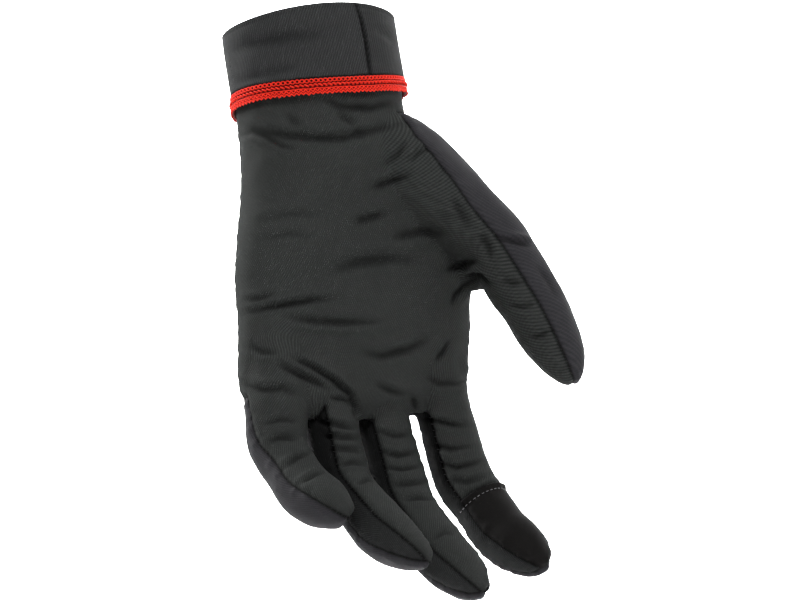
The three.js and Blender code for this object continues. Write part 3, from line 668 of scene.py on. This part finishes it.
# Seams: the edge of each panel is drawn in, with small puckers along it
seamLook = {"depth": 0.62, "width": 1.1, "pucker": 0.12, "roll": 0.16}
# painted shade between the fingers: how dark, and the heights where it is full and where it ends
paintedStripShade = {"depth": 1.35, "full": -172, "none": -206}
padLook = {"rim": 0.75, "stitchLine": 2.6, "sewnIn": 0.25, "spacing": 1.9, "length": 1.25, "radius": 0.17}
seamLines = []
padStart = 0.585 * indexLimb["length"]
for node, piece in panels.items():
    mesh = piece.data
    points = coordinates(mesh) / mm
    normals = skinNormalAt(points)
    edgePoints, edgeMarks, passed = [], [], 0.0
    for chain in edgeChains(mesh, points):
        spots, marks = evenly(chain, 0.5)
        if len(spots) < 8:
            continue
        edgePoints.append(spots)
        edgeMarks.append(marks + passed)
        passed += marks[-1] + 3
        if node in ("palm_panel", "back_panel"):
            seamLines.append((node, chain))
    edgePoints, edgeMarks = np.concatenate(edgePoints), np.concatenate(edgeMarks)
    tree = kdtree.KDTree(len(edgePoints))
    for i, spot in enumerate(edgePoints):
        tree.insert(spot, i)
    tree.balance()
    found = [tree.find(point) for point in points]
    distance = np.array([item[2] for item in found])
    along = edgeMarks[[item[1] for item in found]]
    lift = foldHeight(points, normals)
    # painted shade: the colour is darkened where the fold height dips, in the hollows of the folds
    crease = np.clip(-lift - 0.15, 0, 1)
    tuck = seamLook["depth"] * smoothStep((np.linalg.norm(points - thumbWeb["at"], axis=1) - 9) / 8)
    if node == "index_touch_pad":
        centre, tangent, palm = indexLimb["at"](np.array([padStart]))
        past = (points - centre[0]) @ tangent[0]
        tuck = tuck * smoothStep((past - 1.5) / 3)
        lift = lift + 0.3 + padLook["rim"] * np.exp(-((past - 0.7) / 0.8) ** 2)
        lift = lift - padLook["sewnIn"] * np.exp(-((past - padLook["stitchLine"]) / 0.7) ** 2)
    lift = lift - tuck * np.exp(-(distance / seamLook["width"]) ** 2)
    lift = lift + seamLook["roll"] * np.exp(-((distance - 2.3) / 1.2) ** 2)
    wobble = np.sin(along * 1.19) + 0.7 * np.sin(along * 0.77 + 1.3) + 0.5 * np.sin(along * 1.93)
    lift = lift + seamLook["pucker"] * wobble * np.exp(-((distance - 1.6) / 1.8) ** 2)
    mesh.vertices.foreach_set("co", ((points + normals * lift[:, None]) * mm).astype(np.float32).ravel())
    u, v = weaveCoordinates(points, node != "back_panel")
    setAttribute(mesh, "weaveU", u)
    setAttribute(mesh, "weaveV", v)
    setAttribute(mesh, "seamDistance", distance)
    setAttribute(mesh, "seamAlong", along)
    # painted shade: the strips between the fingers are darkened towards the finger roots, where the fingers shade each
    # other
    if "strip" in node:
        fade = np.clip((points[:, 2] - paintedStripShade["none"]) / (paintedStripShade["full"] - paintedStripShade["none"]), 0, 1)
        crease = crease + paintedStripShade["depth"] * fade * fade * (3 - 2 * fade)
    setAttribute(mesh, "crease", crease)
    mesh.polygons.foreach_set("use_smooth", [True] * len(mesh.polygons))
    mesh.update()
print("seams and folds done")

# Slack in the cloth: soft unevenness over every panel
slack = {"size": 0.013, "strength": 0.0011}
unevenness = bpy.data.textures.new("unevenness", "CLOUDS")
unevenness.noise_scale = slack["size"]
unevenness.noise_depth = 1
for piece in panels.values():
    loose = piece.modifiers.new("loose", "DISPLACE")
    loose.texture = unevenness
    loose.texture_coords = "LOCAL"
    loose.strength = slack["strength"]
    loose.mid_level = 0.5
    thickness = piece.modifiers.new("thickness", "SOLIDIFY")
    thickness.thickness = hand["clothThickness"] * mm
    thickness.offset = -1
    applyModifiers(piece)


# Cloth materials
def addGroup(name, inputs, outputs):
    group = bpy.data.node_groups.new(name, "ShaderNodeTree")
    for label, kind, value in inputs:
        socket = group.interface.new_socket(name=label, in_out="INPUT", socket_type=kind)
        if value is not None:
            socket.default_value = value
    for label, kind in outputs:
        group.interface.new_socket(name=label, in_out="OUTPUT", socket_type=kind)
    start, end = group.nodes.new("NodeGroupInput"), group.nodes.new("NodeGroupOutput")
    return group, start, end


def mathNode(tree, operation, first, second=None, third=None):
    node = tree.nodes.new("ShaderNodeMath")
    node.operation = operation
    for i, value in enumerate((first, second, third)):
        if value is None:
            continue
        if isinstance(value, (int, float)):
            node.inputs[i].default_value = value
        else:
            tree.links.new(value, node.inputs[i])
    return node.outputs[0]


# The knit: slanting stitches in wales, finer across than along
knit, knitIn, knitOut = addGroup("knit", [("U", "NodeSocketFloat", 0.0), ("V", "NodeSocketFloat", 0.0),
                                          ("Wale", "NodeSocketFloat", 1.05), ("Course", "NodeSocketFloat", 0.8),
                                          ("Slant", "NodeSocketFloat", 0.7)],
                                 [("Height", "NodeSocketFloat"), ("Shade", "NodeSocketFloat")])
slanted = mathNode(knit, "ADD", knitIn.outputs["U"], mathNode(knit, "MULTIPLY", knitIn.outputs["V"], knitIn.outputs["Slant"]))
wale = mathNode(knit, "SINE", mathNode(knit, "MULTIPLY", mathNode(knit, "DIVIDE", slanted, knitIn.outputs["Wale"]), 2 * math.pi))
crossing = mathNode(knit, "SUBTRACT", knitIn.outputs["V"], mathNode(knit, "MULTIPLY", knitIn.outputs["U"], 0.35))
course = mathNode(knit, "SINE", mathNode(knit, "MULTIPLY", mathNode(knit, "DIVIDE", crossing, knitIn.outputs["Course"]), 2 * math.pi))
woven = mathNode(knit, "ADD", mathNode(knit, "MULTIPLY", wale, 0.6), mathNode(knit, "MULTIPLY", mathNode(knit, "MULTIPLY", wale, course), 0.4))
knit.links.new(woven, knitOut.inputs["Height"])
knit.links.new(mathNode(knit, "MULTIPLY_ADD", woven, 0.5, 0.5), knitOut.inputs["Shade"])

# Seams: darker in the groove, with the pull of each stitch across it
seamShade, seamIn, seamOut = addGroup("seamShade", [("Distance", "NodeSocketFloat", 5.0), ("Along", "NodeSocketFloat", 0.0),
                                                    ("Pitch", "NodeSocketFloat", 2.4)],
                                      [("Dark", "NodeSocketFloat"), ("Height", "NodeSocketFloat")])
groove = mathNode(seamShade, "POWER", 2.718, mathNode(seamShade, "MULTIPLY", mathNode(seamShade, "POWER", mathNode(
    seamShade, "DIVIDE", seamIn.outputs["Distance"], 0.75), 2.0), -1.0))
pull = mathNode(seamShade, "SINE", mathNode(seamShade, "MULTIPLY", mathNode(seamShade, "DIVIDE", seamIn.outputs["Along"], seamIn.outputs["Pitch"]), 2 * math.pi))
near = mathNode(seamShade, "POWER", 2.718, mathNode(seamShade, "MULTIPLY", mathNode(seamShade, "DIVIDE", seamIn.outputs["Distance"], 1.6), -1.0))
seamShade.links.new(groove, seamOut.inputs["Dark"])
seamShade.links.new(mathNode(seamShade, "MULTIPLY", pull, near), seamOut.inputs["Height"])


def attributeNode(tree, name):
    node = tree.nodes.new("ShaderNodeAttribute")
    node.attribute_name = name
    return node


def knitMaterial(name, look):
    material = bpy.data.materials.new(name)
    material.use_nodes = True
    tree = material.node_tree
    shader = tree.nodes["Principled BSDF"]
    shader.inputs["Roughness"].default_value = look["roughness"]
    shader.inputs["Sheen Weight"].default_value = look["sheen"]
    shader.inputs["Sheen Roughness"].default_value = 0.45
    shader.inputs["Specular IOR Level"].default_value = look["shine"]
    place = tree.nodes.new("ShaderNodeTexCoord").outputs["Object"]
    cloth = tree.nodes.new("ShaderNodeGroup")
    cloth.node_tree = knit
    cloth.inputs["Wale"].default_value = look["wale"]
    cloth.inputs["Course"].default_value = look["course"]
    cloth.inputs["Slant"].default_value = look["slant"]
    tree.links.new(attributeNode(tree, "weaveU").outputs["Fac"], cloth.inputs["U"])
    tree.links.new(attributeNode(tree, "weaveV").outputs["Fac"], cloth.inputs["V"])
    seam = tree.nodes.new("ShaderNodeGroup")
    seam.node_tree = seamShade
    tree.links.new(attributeNode(tree, "seamDistance").outputs["Fac"], seam.inputs["Distance"])
    tree.links.new(attributeNode(tree, "seamAlong").outputs["Fac"], seam.inputs["Along"])
    patches = tree.nodes.new("ShaderNodeTexNoise")
    patches.inputs["Scale"].default_value = 38
    patches.inputs["Detail"].default_value = 3
    tree.links.new(place, patches.inputs["Vector"])
    fuzz = tree.nodes.new("ShaderNodeTexNoise")
    fuzz.inputs["Scale"].default_value = 2600
    fuzz.inputs["Detail"].default_value = 1
    tree.links.new(place, fuzz.inputs["Vector"])
    shade = mathNode(tree, "MULTIPLY_ADD", cloth.outputs["Shade"], look["relief"], 1 - look["relief"] / 2)
    shade = mathNode(tree, "MULTIPLY", shade, mathNode(tree, "MULTIPLY_ADD", patches.outputs["Fac"], 0.3, 0.85))
    shade = mathNode(tree, "MULTIPLY", shade, mathNode(tree, "MULTIPLY_ADD", fuzz.outputs["Fac"], 0.6, 0.7))
    # painted shade: the colour darkens with the crease attribute, in fold hollows and between the fingers
    paintedShadeInput = attributeNode(tree, "crease").outputs["Fac"]
    shade = mathNode(tree, "MULTIPLY", shade, mathNode(tree, "MULTIPLY_ADD", paintedShadeInput, -0.52, 1.0))
    shade = mathNode(tree, "MULTIPLY", shade, mathNode(tree, "MULTIPLY_ADD", seam.outputs["Dark"], -0.75, 1.0))
    colour = tree.nodes.new("ShaderNodeMix")
    colour.data_type = "RGBA"
    colour.blend_type = "MULTIPLY"
    colour.inputs["Factor"].default_value = 1
    colour.inputs["A"].default_value = (*look["colour"], 1)
    grey = tree.nodes.new("ShaderNodeCombineColor")
    for channel in ("Red", "Green", "Blue"):
        tree.links.new(shade, grey.inputs[channel])
    tree.links.new(grey.outputs["Color"], colour.inputs["B"])
    tree.links.new(colour.outputs["Result"], shader.inputs["Base Color"])
    relief = tree.nodes.new("ShaderNodeBump")
    relief.inputs["Strength"].default_value = look["bump"]
    relief.inputs["Distance"].default_value = 0.0003
    height = mathNode(tree, "ADD", cloth.outputs["Height"], mathNode(tree, "MULTIPLY", seam.outputs["Height"], 0.8))
    height = mathNode(tree, "ADD", height, mathNode(tree, "MULTIPLY", fuzz.outputs["Fac"], 0.2))
    tree.links.new(height, relief.inputs["Height"])
    tree.links.new(relief.outputs["Normal"], shader.inputs["Normal"])
    return material


def plainMaterial(name, colour, roughness=0.8):
    material = bpy.data.materials.new(name)
    material.use_nodes = True
    shader = material.node_tree.nodes["Principled BSDF"]
    shader.inputs["Base Color"].default_value = (*colour, 1)
    shader.inputs["Roughness"].default_value = roughness
    shader.inputs["Specular IOR Level"].default_value = 0.15
    return material


palmKnit = knitMaterial("palmKnit", {
    "colour": (0.0190, 0.0204, 0.0196), "roughness": 0.95, "sheen": 0.0, "shine": 0.06,
    "wale": 0.84, "course": 0.72, "slant": 0.6, "relief": 0.9, "bump": 0.5})
backKnit = knitMaterial("backKnit", {
    "colour": (0.0165, 0.0162, 0.0182), "roughness": 0.85, "sheen": 0.0, "shine": 0.10,
    "wale": 0.8, "course": 0.7, "slant": 0.4, "relief": 0.5, "bump": 0.25})
stripKnit = knitMaterial("stripKnit", {
    "colour": (0.0140, 0.0147, 0.0147), "roughness": 0.95, "sheen": 0.0, "shine": 0.03,
    "wale": 0.9, "course": 0.75, "slant": 0.6, "relief": 0.8, "bump": 0.45})
padCoat = knitMaterial("padCoat", {
    "colour": (0.0038, 0.0036, 0.0034), "roughness": 0.85, "sheen": 0.0, "shine": 0.07,
    "wale": 0.5, "course": 0.5, "slant": 0.2, "relief": 0.15, "bump": 0.12})
thread = plainMaterial("thread", (0.006, 0.006, 0.006), 0.8)
padThread = plainMaterial("padThread", (0.085, 0.085, 0.088), 0.6)
redThread = plainMaterial("redThread", (0.54, 0.016, 0.006), 0.75)
redBacking = plainMaterial("redBacking", (0.09, 0.003, 0.002), 0.9)

slots = {"palm_panel": ("palm_knit", palmKnit), "back_panel": ("back_knit", backKnit),
         "index_touch_pad": ("pad", padCoat), "index_middle_strip": ("strip_knit", stripKnit),
         "middle_ring_strip": ("strip_knit", stripKnit), "ring_little_strip": ("strip_knit", stripKnit)}
for node, piece in panels.items():
    piece.data.materials.clear()
    piece.data.materials.append(slots[node][1])
    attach(piece, "root")
    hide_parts(node)


# A band round the wrist: rings of a closed profile, joined both ways
def bandFromGrid(name, rings):
    rings = np.concatenate([rings, rings[:, :1]], 1)
    rings = np.concatenate([rings, rings[:1]], 0)
    bpy.ops.mesh.primitive_grid_add(x_subdivisions=rings.shape[1] - 1, y_subdivisions=rings.shape[0] - 1, size=1)
    band = bpy.context.active_object
    band.name = name
    band.data.vertices.foreach_set("co", (rings * mm).astype(np.float32).ravel())
    bpy.ops.object.mode_set(mode="EDIT")
    bpy.ops.mesh.select_all(action="SELECT")
    bpy.ops.mesh.remove_doubles(threshold=1e-6)
    bpy.ops.mesh.normals_make_consistent(inside=False)
    bpy.ops.object.mode_set(mode="OBJECT")
    band.data.polygons.foreach_set("use_smooth", [True] * len(band.data.polygons))
    return band


def wristPoint(angle, out, z, rim):
    rimDip = hand["rimCrown"] * np.cos(angle) ** 2 - hand["rimSlant"] * np.cos(angle)
    z = z - rim * rimDip + (1 - rim) * edgeRise(angle)
    return np.stack([(hand["cuffWidth"] / 2 + out) * np.cos(angle), (hand["cuffDepth"] / 2 + out) * np.sin(angle),
                     z + 0 * angle], -1)


# The cuff: cloth folded double over the rim
cuffLook = {"wall": 2.4, "around": 360, "foldLine": 2.2}
around = np.linspace(0, 2 * math.pi, cuffLook["around"], endpoint=False)
outerDown = np.linspace(-1.2, -hand["cuffHeight"], 46)
profile = [(-1.2 + 1.2 * math.cos(turn), -1.2 + 1.2 * math.sin(turn), 1) for turn in np.linspace(math.pi, 0, 12)]
profile += [(-0.28 * math.exp(-((z + cuffLook["foldLine"]) / 0.5) ** 2), z, 1 - smoothStep(-z / hand["cuffHeight"])) for z in outerDown[1:]]
profile += [(-cuffLook["wall"], z, 1 - smoothStep(-z / hand["cuffHeight"])) for z in outerDown[::-1][:-1:2]]
rings = np.stack([wristPoint(around, out, z, rim) for out, z, rim in profile], 1)
cuffCloth = bandFromGrid("CuffCloth", rings)
mesh = cuffCloth.data
points = coordinates(mesh) / mm
normals = coordinates(mesh, "vertices", "normal")
lift = foldHeight(points, normals)
angle = np.arctan2(points[:, 1] / 25.5, points[:, 0] / 34.5)
lift += 0.22 * np.sin(3 * angle + 0.4 + points[:, 2] * 0.12) * np.abs(normals[:, 2] < 0.5)
mesh.vertices.foreach_set("co", ((points + normals * lift[:, None]) * mm).astype(np.float32).ravel())
place = inPicture(points)
seamU = np.interp(place[:, 1], [3, 20, 43, 71], [355, 361, 366, 370])
fromSeam = np.where(points[:, 1] < 0, np.abs(place[:, 0] - seamU) / picturePerMm, 30)
setAttribute(mesh, "weaveU", angle * 30)
setAttribute(mesh, "weaveV", -points[:, 2])
setAttribute(mesh, "seamDistance", fromSeam)
setAttribute(mesh, "seamAlong", -points[:, 2])
# painted shade in the cuff's folds, and the cloth past the cuff seam made darker
pastSeam = (points[:, 1] < 0) & (place[:, 0] > seamU) | (points[:, 1] >= 0) & (points[:, 0] > 0)
setAttribute(mesh, "crease", np.clip(-lift - 0.15, 0, 1) + 0.3 * pastSeam)
mesh.update()
cuffKnit = knitMaterial("cuffKnit", {
    "colour": (0.0195, 0.0203, 0.0206), "roughness": 0.9, "sheen": 0.0, "shine": 0.08,
    "wale": 0.92, "course": 0.78, "slant": 0.4, "relief": 1.0, "bump": 0.55})
cuffCloth.data.materials.append(cuffKnit)
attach(cuffCloth, "root")
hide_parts("cuff")

# The overlocked edge: a backing band with rows of thread laid round it
overlock = {"height": 6.8, "wall": 0.6, "flare": 0.5, "pitch": 1.75, "thread": 0.23}


def overlockPoint(angle, out, z):
    drop = -z / overlock["height"]
    flare = overlock["flare"] * np.clip(drop, 0, 1.1) ** 1.6 * (1 + 0.22 * np.sin(5 * angle + 1) + 0.12 * np.sin(11 * angle))
    out = out - 0.45 + flare
    return np.stack([(hand["cuffWidth"] / 2 + out) * np.cos(angle), (hand["cuffDepth"] / 2 + out) * np.sin(angle),
                     -hand["cuffHeight"] + z + edgeRise(angle)], -1)


zs = np.linspace(-2.3, -overlock["height"] + 0.6, 14)
profile = [(0.15, z) for z in zs] + [(0.15 - overlock["wall"], z) for z in zs[::-1]]
backing = bandFromGrid("OverlockBacking", np.stack([overlockPoint(around, out, z) for out, z in profile], 1))
backing.data.materials.append(redBacking)
underProfile = [(0.0, 0.4), (0.0, -1.2), (0.0, -2.8), (-0.6, -2.8), (-0.6, -1.2), (-0.6, 0.4)]
underside = bandFromGrid("OverlockUnderside", np.stack([overlockPoint(around, out, z) for out, z in underProfile], 1))
underside.data.materials.append(thread)


# One length of thread between two points of the flat pattern, rounded at its ends
def threadPiece(start, end, radius):
    start, end = Vector((start[0], start[2], start[1])), Vector((end[0], end[2], end[1]))
    bpy.ops.mesh.primitive_uv_sphere_add(segments=8, ring_count=6, radius=radius, location=(start + end) / 2)
    piece = bpy.context.active_object
    length = (end - start).length
    piece.scale = (1, 1, (length / 2 + radius) / radius)
    piece.rotation_euler = (end - start).to_track_quat("Z", "Y").to_euler()
    bpy.ops.object.transform_apply(location=True, rotation=True, scale=True)
    return piece


pitch, radius = overlock["pitch"], overlock["thread"]
bpy.ops.mesh.primitive_torus_add(major_radius=0.66, minor_radius=radius, major_segments=14, minor_segments=6,
                                 location=(pitch / 2, 0.45, -1.35), rotation=(math.pi / 2, 0, 0))
topLoop = bpy.context.active_object
topLoop.scale = (1.15, 1, 1.75)
bpy.ops.object.transform_apply(location=True, rotation=True, scale=True)
bpy.ops.mesh.primitive_torus_add(major_radius=0.62, minor_radius=radius, major_segments=14, minor_segments=6,
                                 location=(pitch * 0.3, 0.5, -3.1), rotation=(math.pi / 2, 0, 0))
nextLoop = bpy.context.active_object
nextLoop.scale = (1.15, 1, 1.4)
nextLoop.rotation_euler = (0, 0.5, 0)
bpy.ops.object.transform_apply(location=True, rotation=True, scale=True)
# start and end: along the edge, down it, and out from it
cell = [topLoop, nextLoop,
        threadPiece((-0.1, -4.35, 0.6), (pitch + 0.1, -4.35, 0.52), radius),
        threadPiece((0.0, -4.5, 0.42), (pitch / 2, -5.7, 0.5), radius * 1.15),
        threadPiece((pitch / 2, -5.7, 0.5), (pitch, -4.5, 0.6), radius * 1.15),
        threadPiece((0.0, -5.7, 0.42), (pitch / 2, -6.6, 0.5), radius * 1.15),
        threadPiece((pitch / 2, -6.6, 0.5), (pitch, -5.7, 0.6), radius * 1.15)]
overlockThread = joinPieces(cell, "OverlockThread")
ellipse = np.linspace(0, 2 * math.pi, 1441)
arc = np.concatenate([[0], np.cumsum(np.hypot(np.diff(34.8 * np.cos(ellipse)), np.diff(25.8 * np.sin(ellipse))))])
count = int(round(arc[-1] / pitch))
repeat = overlockThread.modifiers.new("repeat", "ARRAY")
repeat.count = count
repeat.use_relative_offset = False
repeat.use_constant_offset = True
repeat.constant_offset_displace = (pitch, 0, 0)
applyModifiers(overlockThread)
mesh = overlockThread.data
flat = coordinates(mesh)
cellNumber = np.floor(flat[:, 0] / pitch)
jitter = rng.normal(0, 1, (count + 4, 3))[np.clip(cellNumber, 0, count + 3).astype(int)]
flat[:, 0] += 0.05 * jitter[:, 0] * (flat[:, 2] < -3)
flat[:, 2] *= 1 + 0.02 * jitter[:, 1]
flat[:, 1] += 0.04 * jitter[:, 2]
turned = np.interp(flat[:, 0] / (count * pitch) * arc[-1] % arc[-1], arc, ellipse)
mesh.vertices.foreach_set("co", (overlockPoint(turned, flat[:, 1], flat[:, 2]) * mm).astype(np.float32).ravel())
mesh.flip_normals()
mesh.polygons.foreach_set("use_smooth", [True] * len(mesh.polygons))
mesh.update()
overlockThread.data.materials.append(redThread)
for piece, slot in ((backing, "red_thread"), (overlockThread, "red_thread"), (underside, "cuff_knit")):
    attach(piece, "root")
    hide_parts("cuff_overlock")
print("overlock:", count, "stitches,", len(mesh.polygons), "faces")

# Stitches across the seams
stitchLook = {"spacing": 2.4, "length": 1.35, "radius": 0.15, "sink": 0.56}
bpy.ops.mesh.primitive_uv_sphere_add(segments=8, ring_count=6, radius=stitchLook["radius"] * mm)
stitch = bpy.context.active_object
stitch.scale = (stitchLook["length"] / 2 / stitchLook["radius"], 1, 1)
bpy.ops.object.transform_apply(scale=True)
stitches = []
for node, chain in seamLines:
    if node != "palm_panel":
        continue
    spots, marks = evenly(chain, stitchLook["spacing"])
    if len(spots) < 4:
        continue
    heading = np.gradient(spots, axis=0)
    for spot, ahead, normal in zip(spots, heading, skinNormalAt(spots)):
        if spot[2] > -36 or np.linalg.norm(spot - thumbWeb["at"]) < 16:
            continue
        across = Vector(np.cross(normal, ahead)).normalized()
        across = (across + 0.35 * Vector(ahead).normalized()).normalized()
        outward = Vector(normal)
        third = across.cross(outward).normalized()
        outward = third.cross(across)
        copy = stitch.copy()
        copy.data = stitch.data.copy()
        bpy.context.collection.objects.link(copy)
        place = Vector(spot - normal * stitchLook["sink"]) * mm
        copy.matrix_world = Matrix.Translation(place) @ Matrix((across, third, outward)).transposed().to_4x4()
        stitches.append(copy)
print("stitches:", len(stitches))
bpy.data.objects.remove(stitch)
seamStitches = joinPieces(stitches, "SeamStitches")
bpy.ops.object.select_all(action="DESELECT")
seamStitches.select_set(True)
bpy.context.view_layer.objects.active = seamStitches
bpy.ops.object.transform_apply(location=True, rotation=True, scale=True)
seamStitches.data.flip_normals()
seamStitches.data.polygons.foreach_set("use_smooth", [True] * len(seamStitches.data.polygons))
seamStitches.data.materials.clear()
seamStitches.data.materials.append(thread)
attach(seamStitches, "root")

# The row of stitches inside the pad's rim
def padRow(turns):
    s, half = limbStations(indexLimb)
    at = padStart + padLook["stitchLine"]
    ring = limbPoints(indexLimb, np.array([at]), np.interp([at], s, half), turns[None, :])[0]
    normals = skinNormalAt(ring)
    onSkin = np.array([skinTree.find(spot)[0] for spot in ring])
    return ring + normals * (((onSkin - ring) * normals).sum(1) + 0.2)[:, None], normals


front = math.radians(np.interp(padStart / indexLimb["length"], *zip(*indexLimb["frontSeams"])))
row, rowNormals = padRow(np.linspace(front, math.radians(indexLimb["outerSeams"][0][1]), 160))
marks = np.concatenate([[0], np.cumsum(np.linalg.norm(np.diff(row, axis=0), axis=1))])
padStitches = []
for mark in np.arange(padLook["spacing"], marks[-1] - padLook["spacing"], padLook["spacing"]):
    i = int(np.searchsorted(marks, mark))
    ahead = Vector(row[i] - row[i - 1]).normalized()
    outward = Vector(rowNormals[i])
    third = outward.cross(ahead).normalized()
    bpy.ops.mesh.primitive_uv_sphere_add(segments=8, ring_count=6, radius=padLook["radius"] * mm)
    dash = bpy.context.active_object
    dash.matrix_world = (Matrix.Translation(Vector(row[i]) * mm) @ Matrix((ahead, third, outward)).transposed().to_4x4()
                         @ Matrix.Diagonal((padLook["length"] / 2 / padLook["radius"], 1, 1, 1)))
    bpy.ops.object.transform_apply(location=True, rotation=True, scale=True)
    padStitches.append(dash)
padSeam = joinPieces(padStitches, "PadStitches")
padSeam.data.polygons.foreach_set("use_smooth", [True] * len(padSeam.data.polygons))
padSeam.data.materials.append(padThread)
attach(padSeam, "root")
print("pad stitches:", len(padStitches))

# Studio: a white backdrop with its own lamps, and soft light on the glove
studio = {"floorDown": 0.9, "size": 9, "paleness": 0.92, "sky": 0.55, "backdropAway": 2.4}
paper = plainMaterial("paper", (studio["paleness"],) * 3, 0.95)
bpy.ops.mesh.primitive_plane_add(size=studio["size"], location=(0, 0, -studio["floorDown"]))
floor = bpy.context.active_object
floor.name = "Floor"
bpy.ops.mesh.primitive_plane_add(size=studio["size"])
backdrop = bpy.context.active_object
backdrop.name = "Backdrop"
level = Vector((back.x, back.y, 0)).normalized()
backdrop.location = -level * studio["backdropAway"]
backdrop.rotation_euler = level.to_track_quat("Z", "Y").to_euler()
for piece in (floor, backdrop):
    piece.data.materials.append(paper)
world = bpy.data.worlds.new("soft")
bpy.context.scene.world = world
world.use_nodes = True
world.node_tree.nodes["Background"].inputs["Color"].default_value = (1, 1, 1, 1)
world.node_tree.nodes["Background"].inputs["Strength"].default_value = studio["sky"]

# place, what it points at, size, power
lamps = {
    "key": ((-0.62, -1.1, 1.15), (0, 0, -0.11), 0.55, 36),
    "side": ((1.2, -0.7, 0.5), (0, 0, -0.11), 0.7, 9),
    "low": ((-0.4, -1.1, -0.6), (0, 0, -0.11), 0.9, 1.2),
    "backdropLeft": ((-0.6, 1.0, 0.9), tuple(-level * 2.4 + Vector((0.5, 0, 0.1))), 1.2, 190),
    "backdropRight": ((1.8, 0.4, 0.9), tuple(-level * 2.4 + Vector((0.5, 0, 0.1))), 1.2, 190),
}
for name, (place, towards, size, power) in lamps.items():
    bpy.ops.object.light_add(type="AREA", location=place)
    lamp = bpy.context.active_object
    lamp.name = name
    lamp.data.size = size
    lamp.data.energy = power
    lamp.rotation_euler = (Vector(towards) - Vector(place)).to_track_quat("-Z", "Y").to_euler()
